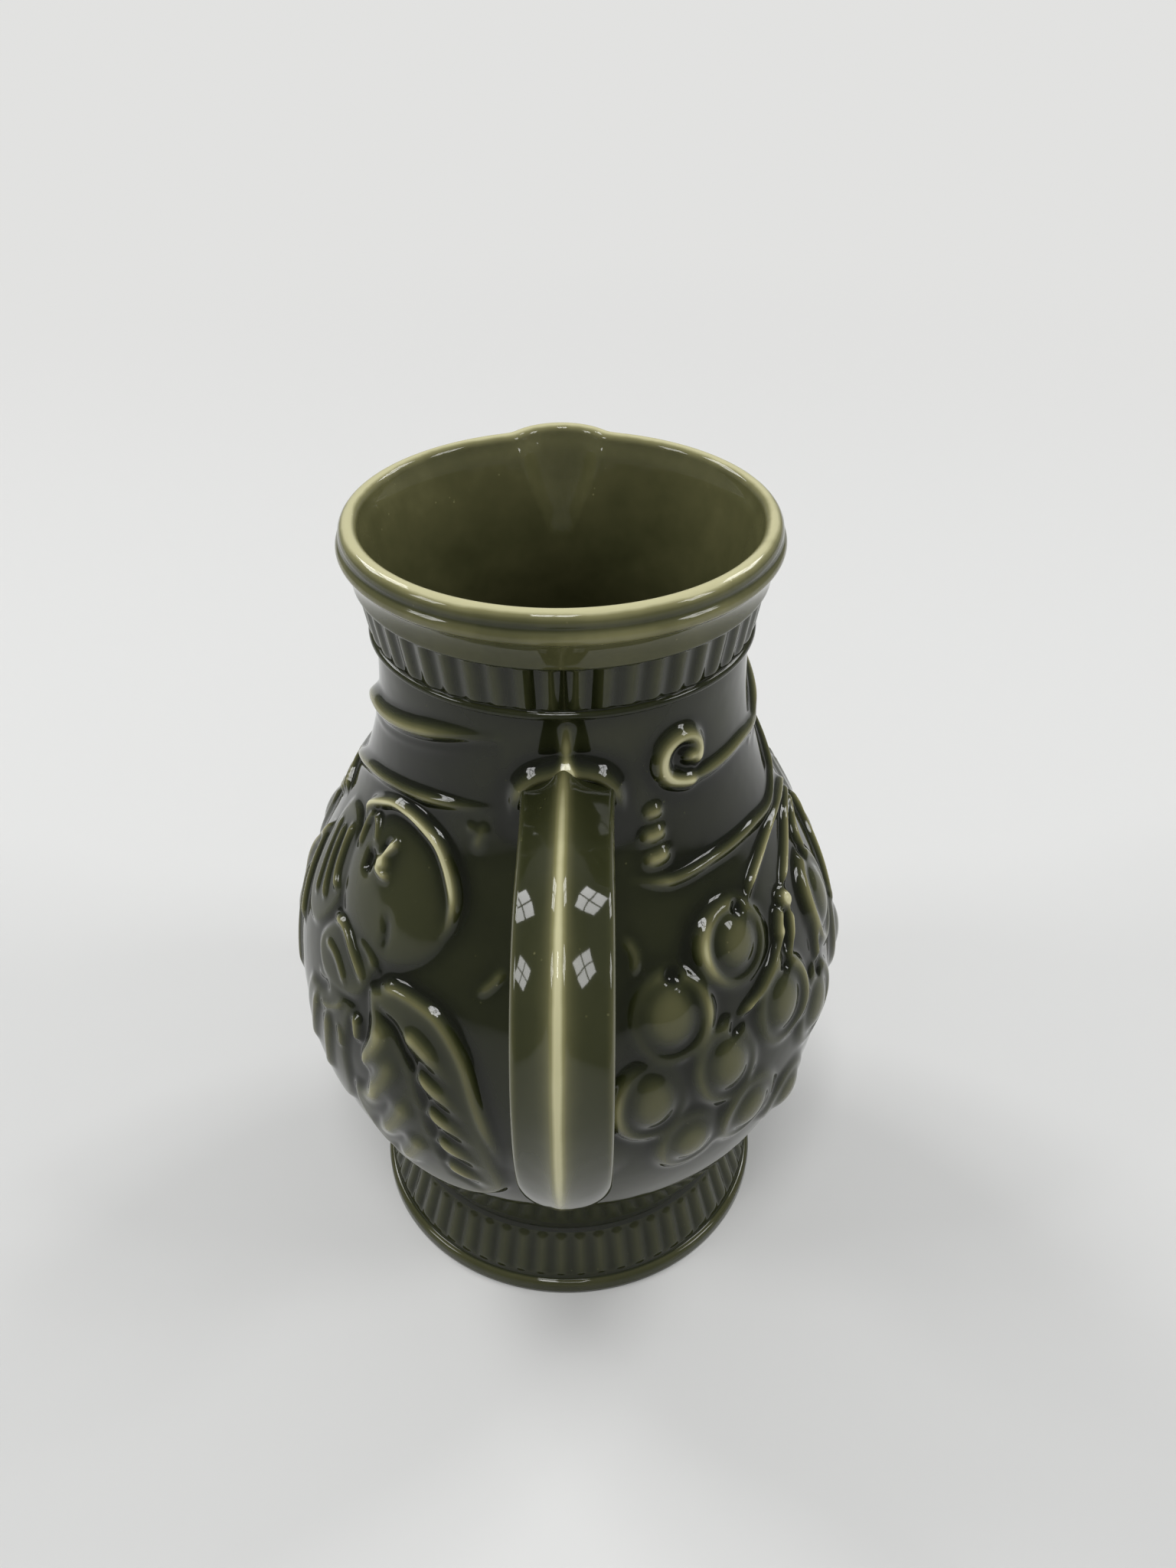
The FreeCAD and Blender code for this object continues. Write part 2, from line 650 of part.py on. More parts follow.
def make_leaf(outline, veins):
    """A leaf blade of even height, its outline a chain of arcs, with its veins cut in."""
    out = outward(sum(place[0] for place in outline) / len(outline))
    corners = flattened(outline + outline[:1], out)
    edges = [Part.Arc(*corners[index:index + 3]).toShape() for index in range(0, len(outline), 2)]
    blade = prism(edges, out).common(envelope(leaf_height))
    grooves = [ridge(spots(vein), vein_r, leaf_height) for vein in veins]
    return blade.cut([body] + grooves)


def seated(pieces, *carriers):
    """Separate ridges as one group, less what lies in the wall or in what they meet."""
    return Part.makeCompound([piece.cut([body] + list(carriers)) for piece in pieces])


jug_wall_whole = make_jug_wall()
bore = make_bore()
lip_block = make_lip_block()

nodes = {
    "jug_wall": jug_wall_whole.cut(lip_block),
    "foot_ring": make_foot(),
    "neck_band": make_neck_band().cut(lip_block),
    "rim_band": make_rim_band().cut(lip_block),
    "pouring_lip": make_pouring_lip(),
    "handle": make_handle(),
}

ribbon_left = make_ribbon(spots(ribbon_left_low_shares), spots(ribbon_left_high_shares))
ribbon_right = make_ribbon(spots(ribbon_right_low_shares), spots(ribbon_right_high_shares))
cherries = [make_cherry(spot(place), spot(pit)) for place, pit in zip(cherry_shares, cherry_pit_shares)]
stem_pieces = [ridge(spots(row), stem_r) for row in stem_shares]
stems = stem_pieces[0].multiFuse(stem_pieces[1:])
fruit = make_fruit(spot(fruit_shares), spot(fruit_pit_shares))
small_leaf = make_leaf(spots(small_leaf_shares), small_vein_shares).cut(fruit)
relief = {
    "ribbon_left": ribbon_left,
    "ribbon_right": ribbon_right,
    "ribbon_scroll": make_scroll(*spot(scroll_shares)).cut(ribbon_right),
    "ribbon_folds": seated(folds(fold_shares, fold_r), ribbon_right),
    "cherry_stems": seated([stems], *cherries),
    "cherry_buds": seated(folds(bud_shares, bud_r), stems, *cherries),
    "round_fruit": fruit,
    "fruit_stem": ridge(spots(fruit_stem_shares), fruit_stem_r).cut([body, fruit]),
    "fruit_calyx": make_calyx(calyx_shares, fruit),
    "large_leaf": make_leaf(spots(large_leaf_shares), large_vein_shares).cut([fruit, small_leaf]),
    "small_leaf": small_leaf,
    "leaf_folds": seated(folds(leaf_fold_shares, leaf_fold_r), small_leaf),
}
for number, cherry in enumerate(cherries, 1):
    relief["cherry_%d" % number] = cherry

# The half under the lip repeats the relief, turned by half a turn
for name, shape in relief.items():
    nodes[name] = shape
    far = shape.copy()
    far.rotate(Vector(0, 0, 0), Vector(0, 0, 1), half_turn_deg)
    nodes["far_" + name] = far

for name, shape in nodes.items():
    shape.exportStep("parts/%s.step" % name)
    print(name, shape.isValid(), len(shape.Solids), round(shape.Volume, 1))
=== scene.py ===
"""Looks of a small glazed earthenware jug with moulded relief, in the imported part's frame.
Lengths in the sections are millimetres unless a name says otherwise; meshes are set down in metres.
Azimuths are degrees from the handle, turning towards +X."""
import math

import bpy
import numpy as np
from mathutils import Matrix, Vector


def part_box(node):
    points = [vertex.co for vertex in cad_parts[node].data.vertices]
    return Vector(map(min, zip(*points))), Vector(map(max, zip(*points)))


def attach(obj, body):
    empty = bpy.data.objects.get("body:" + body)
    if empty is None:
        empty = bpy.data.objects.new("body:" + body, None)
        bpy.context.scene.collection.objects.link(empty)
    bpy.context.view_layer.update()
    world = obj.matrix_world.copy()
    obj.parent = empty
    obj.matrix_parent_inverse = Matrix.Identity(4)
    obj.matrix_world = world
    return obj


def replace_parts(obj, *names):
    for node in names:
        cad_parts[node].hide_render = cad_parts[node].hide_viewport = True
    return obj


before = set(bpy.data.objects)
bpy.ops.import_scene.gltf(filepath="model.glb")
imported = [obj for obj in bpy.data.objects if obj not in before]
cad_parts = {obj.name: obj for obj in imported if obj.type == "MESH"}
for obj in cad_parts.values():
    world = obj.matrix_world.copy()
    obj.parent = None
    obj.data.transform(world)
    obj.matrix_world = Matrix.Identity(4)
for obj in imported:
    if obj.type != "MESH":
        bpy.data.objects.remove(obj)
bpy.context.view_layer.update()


# The moulded side: four quarters of one skin from the foot's collar to the neck ring. The real
# side is slip-cast earthenware with ribbons, cherries, a round fruit and leaves raised on it,
# under a thick olive glaze that runs off the crests and pools dark in the hollows.
foot_top_r, foot_top_z = 39.4, 16.5
belly_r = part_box("jug_wall")[1].x * 1000
belly_z = 70.0
neck_r, neck_z = 34.8, 144.0
bowl_slope, shoulder_slope = math.radians(26.6), math.radians(28.2)
bowl_bend, shoulder_bend, neck_bend = 74.3, 57.05, 69.7
skin_low_z, skin_high_z = 16.2, 148.3
skin_depth = 1.5
mean_r, slim_r = 50.0, 34.0
quarter_columns, skin_rows = 240, 376
back_step = 8
fine_count = 4001


def side_radius(z):
    """Radius of the plain side at a height: a straight slope out of the foot, two round arcs that
    meet at the belly's widest height, a straight slope in and a hollow arc into the neck."""
    z = np.asarray(z, float)
    bend = np.where(z < belly_z, bowl_bend, shoulder_bend)
    belly = belly_r - bend + np.sqrt(np.maximum(bend ** 2 - (z - belly_z) ** 2, 0))
    neck = neck_r + neck_bend - np.sqrt(np.maximum(neck_bend ** 2 - (z - neck_z) ** 2, 0))
    low = foot_top_r + (z - foot_top_z) * math.tan(bowl_slope)
    bowl_end = belly_z - bowl_bend * math.sin(bowl_slope)
    slope_start = belly_z + shoulder_bend * math.sin(shoulder_slope)
    slope_start_r = belly_r - shoulder_bend * (1 - math.cos(shoulder_slope))
    neck_start = neck_z - neck_bend * math.sin(shoulder_slope)
    straight = slope_start_r - (z - slope_start) * math.tan(shoulder_slope)
    choices = [z < bowl_end, z < slope_start, z < neck_start, z < neck_z]
    return np.select(choices, [low, belly, straight, neck], neck_r)


fine_z = np.linspace(skin_low_z, skin_high_z, fine_count)
fine_s = np.concatenate([[0], np.cumsum(np.hypot(np.diff(side_radius(fine_z)), np.diff(fine_z)))])
row_step = fine_s[-1] / skin_rows
row_z = np.interp(np.linspace(0, fine_s[-1], skin_rows + 1), fine_s, fine_z)
row_r = side_radius(row_z)
row_out = np.gradient(row_z, row_step)
row_up = -np.gradient(row_r, row_step)
row_size = np.hypot(row_out, row_up)
row_out, row_up = row_out / row_size, row_up / row_size
column_count = 4 * quarter_columns
column_azimuth = -180 + np.arange(column_count) * 360.0 / column_count


def on_side(azimuth, z, rise=0.0):
    """Points of the side: out from the axis by the radius at that height plus a rise."""
    turn = np.radians(azimuth)
    reach = side_radius(z) + rise
    across = reach * np.sin(turn)
    return np.stack([across, -reach * np.cos(turn), z + 0 * across], -1)


grid_points = on_side(column_azimuth[None, :], row_z[:, None])
relief = np.zeros((skin_rows + 1, column_count))
pooling = np.zeros_like(relief)


def smooth_step(value):
    """Nought below nought, one above one, and the cubic 3v2 - 2v3 between."""
    value = np.clip(value, 0, 1)
    return value * value * (3 - 2 * value)


def drawn(places, step=0.7):
    """A Catmull-Rom curve through places (azimuth, height), resampled at about one step in mm."""
    rows = np.array(places, float)
    rows = np.vstack([2 * rows[0] - rows[1], rows, 2 * rows[-1] - rows[-2]])
    parts = []
    for index in range(1, len(rows) - 2):
        p0, p1, p2, p3 = rows[index - 1:index + 3]
        length = math.hypot(math.radians(p2[0] - p1[0]) * mean_r, p2[1] - p1[1])
        t = np.linspace(0, 1, max(2, int(length / step) + 1), endpoint=False)[:, None]
        parts.append(0.5 * (2 * p1 + (p2 - p0) * t + (2 * p0 - 5 * p1 + 4 * p2 - p3) * t ** 2
                            + (3 * p1 - p0 - 3 * p2 + p3) * t ** 3))
    return np.vstack(parts + [rows[-2:-1]])


def window(rows, margin):
    """Row and column ranges of the grid that hold the places and a margin in mm round them."""
    low, high = rows.min(0), rows.max(0)
    turn = math.degrees(margin / slim_r)
    r = np.searchsorted(row_z, [low[1] - margin, high[1] + margin])
    c = np.searchsorted(column_azimuth, [low[0] - turn, high[0] + turn])
    return slice(max(r[0], 0), r[1] + 1), slice(c[0], c[1] + 1)


def to_line(places, reach):
    """Grid window, distance to a drawn line in mm, and the share along it of the nearest point."""
    rows = drawn(places)
    where = window(rows, reach)
    points = grid_points[where]
    line = on_side(rows[:, 0], rows[:, 1])
    lengths = np.linalg.norm(np.diff(line, axis=0), axis=1)
    marks = np.concatenate([[0], np.cumsum(lengths)]) / lengths.sum()
    best = np.full(points.shape[:2], 1e9)
    share = np.zeros_like(best)
    for a, b, size, start, end in zip(line, line[1:], lengths, marks, marks[1:]):
        along = np.clip(((points - a) @ (b - a)) / size ** 2, 0, 1)
        gap = np.linalg.norm(points - a - along[..., None] * (b - a), axis=-1)
        nearer = gap < best
        best = np.where(nearer, gap, best)
        share = np.where(nearer, start + along * (end - start), share)
    return where, best, share


def raise_line(places, half_width, height, start=0.15, end=0.15, low=0.0, onto=False):
    """A soft ridge: cosine bell across, swelling in over the first share of its length and fading
    over the last; low is the share of its height that the ends keep. Its foot spreads to 1.3 of
    the half width where it is full and to half of that where it fades out."""
    where, gap, share = to_line(places, half_width * 2)
    taper = smooth_step(share / start) * smooth_step((1 - share) / end)
    taper = low + (1 - low) * taper
    width = 1.3 * half_width * (0.5 + 0.5 * taper)
    bell = height * taper * np.cos(np.clip(gap / width, 0, 1) * math.pi / 2) ** 2
    relief[where] = relief[where] + bell if onto else np.maximum(relief[where], bell)


def sink_line(places, half_width, depth, start=0.15, end=0.15):
    """A soft groove with the section and fade of a ridge, taken off what stands there."""
    where, gap, share = to_line(places, half_width * 1.6)
    taper = smooth_step(share / start) * smooth_step((1 - share) / end)
    relief[where] -= depth * taper * np.cos(np.clip(gap / half_width, 0, 1) * math.pi / 2) ** 2


def local(place, size):
    """Grid window round a place with the distances to its right and up along the side, in mm."""
    where = window(np.array([place], float), size)
    azimuth, z = place
    turn = math.radians(azimuth)
    centre = on_side(azimuth, z)
    right = np.array([math.cos(turn), math.sin(turn), 0])
    slope = float(side_radius(z + 0.5) - side_radius(z - 0.5))
    up = np.array([slope * math.sin(turn), -slope * math.cos(turn), 1]) / math.hypot(slope, 1)
    offset = grid_points[where] - centre
    return where, offset @ right, offset @ up


def raise_dome(place, half_width, half_height, height, turn_deg=0.0, power=0.6, onto=False):
    """An oval dome: height times (1 - q2) to a power, where q is the share of the way out."""
    where, x, y = local(place, max(half_width, half_height) * 1.1)
    c, s = math.cos(math.radians(turn_deg)), math.sin(math.radians(turn_deg))
    q = ((x * c + y * s) / half_width) ** 2 + ((y * c - x * s) / half_height) ** 2
    dome = height * np.clip(1 - q, 0, 1) ** power
    relief[where] = relief[where] + dome if onto else np.maximum(relief[where], dome)


def raise_ring(place, half_width, half_height, band, height, left=1.0, right=1.0, top=1.0, bottom=1.0,
               turn_deg=0.0):
    """An oval ring ridge whose height, and less strongly its width, is mixed by angle from the
    shares of its four sides, by squared cosine and squared sine."""
    where, x, y = local(place, max(half_width, half_height) * 1.4)
    c, s = math.cos(math.radians(turn_deg)), math.sin(math.radians(turn_deg))
    x, y = x * c + y * s, y * c - x * s
    q = np.hypot(x / half_width, y / half_height)
    angle = np.arctan2(y / half_height, x / half_width)
    across = np.cos(angle) ** 2 * np.where(np.cos(angle) > 0, right, left)
    share = across + np.sin(angle) ** 2 * np.where(np.sin(angle) > 0, top, bottom)
    size = (half_width + half_height) / 2
    reach = band * (0.45 + 0.55 * np.clip(share, 0, 1))
    bell = np.cos(np.clip(np.abs(q - 1) * size / reach, 0, 1) * math.pi / 2) ** 2
    relief[where] = np.maximum(relief[where], height * share * bell)


def inside(places, edge):
    """Grid window and signed distance in mm into a smooth closed outline, positive inside it: the
    distance to its line, with the sign from how often a level ray crosses it."""
    closed = list(places) + [places[0]]
    where, gap, share = to_line(closed, edge)
    outline = drawn(closed)
    azimuth, z = np.meshgrid(column_azimuth[where[1]], row_z[where[0]])
    odd = np.zeros(azimuth.shape, bool)
    for (a0, z0), (a1, z1) in zip(outline, np.roll(outline, -1, 0)):
        if z0 != z1:
            crosses = (z0 > z) != (z1 > z)
            odd ^= crosses & (azimuth < (a1 - a0) * (z - z0) / (z1 - z0) + a0)
    return where, np.where(odd, gap, -gap)


def raise_plate(places, height, edge):
    """A raised field of even height with a soft edge just inside its outline."""
    where, depth = inside(places, edge)
    relief[where] = np.maximum(relief[where], height * smooth_step(depth / edge + 0.5))


def pool(places, edge, amount):
    """Thicker, darker glaze over a field, fading across its edge."""
    where, depth = inside(places, edge)
    pooling[where] = np.maximum(pooling[where], amount * smooth_step(depth / edge + 0.5))


def blurred(field, sigma):
    """Gaussian blur of a grid field by sigma mm, round the jug and up it, through Fourier space."""
    turns = np.fft.rfftfreq(field.shape[1])[None, :]
    spread = sigma * column_count / (2 * math.pi * row_r[:, None])
    field = np.fft.irfft(np.fft.rfft(field, axis=1) * np.exp(-2 * (math.pi * turns * spread) ** 2),
                         field.shape[1], axis=1)
    pad = 48
    tall = np.concatenate([np.repeat(field[:1], pad, 0), field, np.repeat(field[-1:], pad, 0)])
    waves = np.fft.rfftfreq(len(tall))[:, None]
    tall = np.fft.irfft(np.fft.rfft(tall, axis=0) * np.exp(-2 * (math.pi * waves * sigma / row_step) ** 2),
                        len(tall), axis=0)
    return tall[pad:-pad]


def draw_left_side():
    """Left of the handle: a ribbon, a round fruit with its stem and calyx, and leaves, each line a
    row of places with its half width, height and the shares over which it fades in and out."""
    ribbon_top = [(-108, 128.2), (-96, 130.2), (-86, 133.6), (-75, 135.8), (-66.6, 136.7),
                  (-56, 138.2), (-48, 139.4), (-42, 140.4), (-31, 142), (-19, 142.9)]
    ribbon_low = [(-108, 113.2), (-97, 115.2), (-86, 119), (-72.5, 122.6), (-60, 124.8),
                  (-52, 125.9), (-39, 127.3), (-29, 128.2), (-19, 129.2)]
    pool(ribbon_top + ribbon_low[::-1], 2.5, 0.30)
    raise_line(ribbon_top, 2.1, 1.9, 0.22, 0.28, 0.15)
    raise_line([(a, z - 3.6) for a, z in ribbon_top], 0.8, 0.30, 0.2, 0.3)
    raise_line(ribbon_low, 1.35, 1.5, 0.2, 0.25, 0.1)
    raise_line([(-27.5, 124), (-25, 125)], 1.0, 0.5, 0.3, 0.3)
    raise_line([(-22, 126.2), (-23.5, 123), (-24.5, 120.5)], 1.2, 0.6, 0.3, 0.3)

    # The fruit: a low dome with a rim on three sides, soft dents, and a three-armed calyx
    raise_dome((-46.5, 108.5), 15.5, 15.0, 2.0, power=0.7)
    raise_line([(-66, 112), (-64, 118), (-54, 122.2), (-47, 122.8), (-41, 122), (-35, 120),
                (-31, 116.7), (-28.4, 113), (-27.5, 110), (-28.2, 106.5), (-31, 103), (-34, 100.5)],
               1.5, 2.35, 0.15, 0.35)
    sink_line([(-44, 106), (-42.5, 101), (-43.5, 97.5)], 1.6, 0.5, 0.4, 0.4)
    sink_line([(-51.8, 114.6), (-48.4, 114)], 2.4, 1.3, 0.3, 0.3)
    sink_line([(-55.5, 113), (-55, 107.5)], 2.0, 1.2, 0.3, 0.3)
    raise_line([(-46.9, 117.2), (-49.2, 114), (-50.6, 110.9)], 1.35, 3.3, 0.15, 0.1, 0.3)
    raise_line([(-52.4, 111.2), (-48.5, 110.2), (-44.8, 110.7)], 1.45, 3.3, 0.2, 0.25, 0.2)
    raise_dome((-49.6, 112), 2.7, 2.2, 3.2)
    raise_line([(-60.2, 118), (-62.5, 115.5), (-62.4, 111.6), (-61, 108.6)], 0.95, 2.1, 0.1, 0.3)
    raise_line([(-60.2, 118), (-57.5, 116.6), (-54.9, 113.2)], 1.0, 2.2, 0.1, 0.2)

    # The small leaves behind and below the fruit: three low plates with folds over them
    raise_plate([(-66, 112.5), (-72, 114), (-79, 112), (-82.5, 104), (-80, 96), (-74, 90.6),
                 (-67, 91.4), (-62, 98), (-62.6, 106)], 0.8, 2.2)
    raise_plate([(-43, 96), (-48, 98.4), (-55, 98), (-61, 95), (-63.6, 90), (-59, 85.6),
                 (-51, 85.6), (-45, 89)], 0.9, 2.0)
    raise_plate([(-47, 84.6), (-55, 86), (-62, 83.6), (-67, 76), (-67.6, 66), (-62, 57),
                 (-54, 54), (-49.6, 62), (-49, 74)], 0.8, 2.2)
    raise_line([(-69.5, 112.5), (-68.6, 107), (-66.8, 102.5), (-63, 99.4)], 1.5, 1.9)
    raise_line([(-73.5, 110.5), (-72.4, 104), (-69.5, 98.4), (-66, 95.6)], 1.35, 1.8)
    raise_line([(-77.5, 110.5), (-76.4, 103), (-73.8, 97), (-71, 93.4)], 1.3, 1.6)
    raise_line([(-86, 104), (-84, 96), (-80, 88), (-76, 84)], 1.5, 1.3)
    raise_line([(-90, 92), (-87, 82), (-82, 74), (-79, 68)], 1.4, 1.1)
    raise_line([(-62.5, 96.5), (-56, 97.2), (-50.5, 94.6), (-46, 91.5), (-44.6, 87.6)], 1.3, 2.0, 0.2, 0.3)
    raise_line([(-62, 92), (-56, 91.6), (-52, 89.4), (-49, 86)], 1.25, 1.7, 0.2, 0.3)
    raise_line([(-52, 97.9), (-45.5, 96.3), (-42.4, 93)], 0.9, 1.5, 0.3, 0.3)
    sink_line([(-66, 82), (-60, 82.6), (-55, 84.4)], 2.2, 1.0, 0.2, 0.3)
    raise_line([(-61, 78.6), (-56, 79.6), (-52, 82), (-48.4, 86)], 1.1, 1.6, 0.3, 0.3)

    # The large leaf: a plate with a rolled edge, a sunk midrib, and swelling lobes on both sides
    raise_plate([(-43.4, 91), (-37.6, 93.2), (-30.6, 92.9), (-24.6, 91), (-19.8, 86), (-17.4, 79),
                 (-16.4, 71.9), (-14.6, 60.3), (-13.6, 50), (-20, 44.5), (-30, 44), (-40, 48),
                 (-46, 56), (-47.4, 64.7), (-41.6, 69), (-43.4, 76), (-41.6, 84)], 1.35, 2.6)
    raise_line([(-43, 90.6), (-37.6, 93), (-30.6, 92.6), (-25.2, 90.4), (-20.4, 84.6), (-17.6, 76),
                (-16, 70.1), (-14.2, 62.6), (-13.8, 53.7)], 1.9, 1.75, 0.1, 0.35)
    sink_line([(-42, 90.5), (-39.3, 88.3), (-34.8, 86.6), (-30.5, 81.2), (-28.4, 76.1),
               (-26.6, 67.7), (-25, 58), (-24, 49)], 1.5, 0.9, 0.15, 0.25)
    right_lobes = ([(-33.4, 87.2), (-28.6, 85.4), (-22.6, 80.6)],
                   [(-30.6, 79.6), (-26, 77.8), (-20.2, 73)],
                   [(-28.6, 72), (-24.2, 70.2), (-18.8, 65.8)],
                   [(-27, 64.4), (-22.8, 62.6), (-17.8, 58.6)],
                   [(-25.4, 57), (-21.4, 55.2), (-17, 51.8)])
    for lobe in right_lobes:
        raise_line(lobe, 2.1, 1.05, 0.2, 0.55, 0.1, onto=True)
        sink_line([(a, z - 3.9) for a, z in lobe], 2.0, 0.4, 0.3, 0.5)
    left_lobes = ([(-39.6, 87), (-38.6, 81.7), (-43.6, 73)], [(-35, 82), (-37.2, 74), (-43.6, 63)],
                  [(-31.8, 73), (-34.4, 65), (-41, 55)], [(-29.4, 63.6), (-31.8, 57), (-37, 49)])
    for lobe in left_lobes:
        raise_line(lobe, 2.7, 1.15, 0.25, 0.35, 0.1, onto=True)
        sink_line([(a - 4.4, z - 1.0) for a, z in lobe], 2.0, 0.5, 0.3, 0.35)
    raise_line([(-46.4, 84), (-45.4, 80.6), (-45.2, 77.4)], 1.5, 1.6, 0.2, 0.3)
    raise_line([(-51.4, 79), (-50.4, 75.6), (-51, 72)], 1.4, 1.4, 0.2, 0.3)
    raise_line([(-55, 80), (-55.4, 72), (-57, 64), (-60, 58.6)], 1.9, 1.0, 0.2, 0.3, 0.1, onto=True)
    raise_line([(-60, 80.6), (-61.4, 73), (-63.4, 66), (-65, 62)], 1.7, 0.9, 0.2, 0.3, 0.1, onto=True)
    raise_line([(-13.3, 102.8), (-15.4, 100), (-19, 96.9)], 1.0, 0.7, 0.3, 0.3)


def draw_cherries():
    """Right of the handle: cherries. Each is a low dome cut to an even top, with a moat that is
    deepest at its foot, a ball in the moat and a rim whose sides stand out unevenly. The rows
    hold the place, half width, half height, the rim's left, right, top and bottom shares, and
    the turn in degrees."""
    cherries = (((38.7, 100.2), 7.2, 7.4, 1.15, 0.55, 0.70, 0.35, 0),
                ((48.0, 84.2), 6.9, 8.2, 0.60, 1.00, 0.75, 0.35, -8),
                ((20.9, 92.4), 7.0, 8.2, 0.35, 1.00, 0.45, 0.45, 0),
                ((31.6, 78.8), 6.4, 8.4, 0.75, 0.40, 0.60, 0.40, 12),
                ((15.4, 76.0), 6.6, 8.4, 1.00, 0.35, 0.30, 0.40, 0),
                ((38.0, 63.0), 6.6, 7.8, 0.80, 0.40, 0.45, 0.40, -8),
                ((72.5, 92.5), 6.4, 9.4, 1.10, 0.60, 0.70, 0.50, -6),
                ((60.5, 74.5), 6.8, 8.2, 0.50, 0.80, 0.60, 0.35, -12),
                ((24.0, 62.0), 6.2, 7.8, 0.70, 0.35, 0.40, 0.30, 8),
                ((85.0, 74.0), 6.6, 8.6, 0.75, 0.45, 0.50, 0.40, 0),
                ((52.0, 56.0), 6.2, 7.2, 0.60, 0.40, 0.40, 0.30, -12))
    dome_height, even_top, moat_depth, ball_height, rim_width, rim_height = 1.2, 1.3, 1.2, 2.3, 2.5, 2.7
    for place, half_width, half_height, left, right, top, bottom, turn in cherries:
        raise_dome(place, half_width * 1.02, half_height * 1.02, dome_height, turn, 0.5)
        where, x, y = local(place, half_height * 1.4)
        q = np.hypot(x / half_width, y / half_height)
        relief[where] = np.where(q < 1.05, np.minimum(relief[where], even_top), relief[where])
        foot_share = 0.55 - 0.45 * y / np.hypot(x, y + 1e-6)
        relief[where] -= moat_depth * foot_share * np.exp(-((q - 0.80) / 0.16) ** 2)
        ball = (place[0] - 0.2, place[1] + 0.07 * half_height)
        raise_dome(ball, half_width * 0.88, half_height * 0.86, ball_height, turn, 0.7)
        raise_ring(place, half_width, half_height, rim_width, rim_height, left, right, top, bottom, turn)


def draw_right_side():
    """Right of the handle: a ribbon with a curled end and folds, and the cherries' stems and buds."""
    ribbon_top = [(29, 131.9), (32, 131.8), (45, 131), (62, 131.2), (73, 130.1), (84, 129.4),
                  (96, 132)]
    ribbon_low = [(17, 116.2), (27, 114.5), (42, 115.1), (58.5, 115.1), (72, 114.2), (86, 116.2),
                  (94, 119)]
    pool([(30, 131)] + ribbon_top[1:] + ribbon_low[:0:-1], 2.5, 0.28)
    raise_line(ribbon_top, 1.4, 1.35, 0.05, 0.25, 0.1)
    raise_line(ribbon_low, 1.2, 1.2, 0.14, 0.2, 0.1)
    raise_line([(42, 130.8), (38, 131.2), (33.6, 131.9), (29.6, 133.4), (28, 136), (29.4, 139),
                (33, 140.6), (37.4, 140.3), (40.2, 138.2), (40, 135.4), (37.2, 134.6)],
               2.1, 2.2, 0.12, 0.06, 0.3)
    raise_dome((37.6, 136.2), 2.3, 1.9, 2.2, power=1.0)
    raise_line([(19.6, 119.4), (24, 119.0), (29, 120.2)], 1.9, 1.2, 0.3, 0.3)
    raise_line([(19.4, 123.6), (24, 123.2), (28.6, 124.2)], 1.9, 1.15, 0.3, 0.3)
    raise_line([(20.4, 127.8), (24.6, 127.4), (28.2, 128.2)], 1.8, 1.1, 0.3, 0.3)

    # The cherries' pits where the stems meet them, then the stems and the buds at their fork
    for pit in ((42.3, 105.6), (50.6, 91.2), (22.4, 99.6), (34.4, 86), (74.4, 101), (62.5, 82)):
        raise_dome(pit, 2.0, 1.8, -1.3, 0, 0.9, onto=True)
    for stem in ([(92, 109.6), (84, 111.2), (72, 112), (62, 111.2), (52, 108.3), (46.6, 105.4)],
                 [(90, 108.6), (78, 108.8), (69, 106.3), (59.4, 101.8)],
                 [(88, 107.4), (81, 106), (77.4, 103.8), (76.4, 100)],
                 [(96, 104), (92, 98), (89, 94), (85.4, 86), (84, 80)],
                 [(58, 99), (55, 93.6), (51.8, 91)], [(54.3, 97), (44, 90.8), (36, 87.4)],
                 [(66, 98), (64.4, 90), (63.2, 83.4)]):
        raise_line(stem, 0.85, 1.9, 0.06, 0.12, 0.4)
    raise_dome((58, 100.2), 2.1, 2.3, 2.3)
    raise_line([(55.6, 100), (53, 97.6), (50.5, 94.7)], 1.3, 1.9, 0.15, 0.3)
    raise_line([(58.6, 98), (56.4, 95.2), (54.4, 92.4)], 1.2, 1.8, 0.15, 0.3)
    raise_line([(12.6, 108), (15, 104), (14, 100)], 1.1, 0.6, 0.3, 0.3)


# Half of the relief is drawn and repeated on the far side by a half turn; the seam over the
# handle's root, the root's swellings and the collar round it are on the near side alone
clay_blur, glaze_blur = 0.75, 0.48
half_turn_columns = column_count // 2
hollow_share = 0.6
draw_cherries()
relief = blurred(relief, clay_blur)
draw_left_side()
draw_right_side()
relief = np.maximum(relief, 0) + np.minimum(relief, 0) * hollow_share
relief = np.maximum(relief, np.roll(relief, half_turn_columns, 1))
pooling = np.maximum(pooling, np.roll(pooling, half_turn_columns, 1))
raise_line([(0.6, 147.4), (0.5, 142), (0.4, 134)], 1.3, 0.45, 0.1, 0.1)
raise_dome((2.6, 131), 14.5, 9.5, 1.5, power=1.5)
collar = [(-14.4, 126.5), (-13.6, 130.8), (-11.4, 134.2), (-7.2, 136.6), (0.6, 137.8), (8.6, 136.8),
          (12.8, 134.2), (15.0, 130.4), (15.8, 126)]
raise_line(collar, 2.5, 2.5, 0.25, 0.25, 0.1)
collar_where, collar_gap, collar_share = to_line(collar, 5.0)
pooling[collar_where] += 0.85 * np.exp(-(collar_gap / 2.6) ** 2)
raise_dome((-0.6, 63), 13.0, 11.0, 1.4, power=1.6)
relief = blurred(relief, glaze_blur)

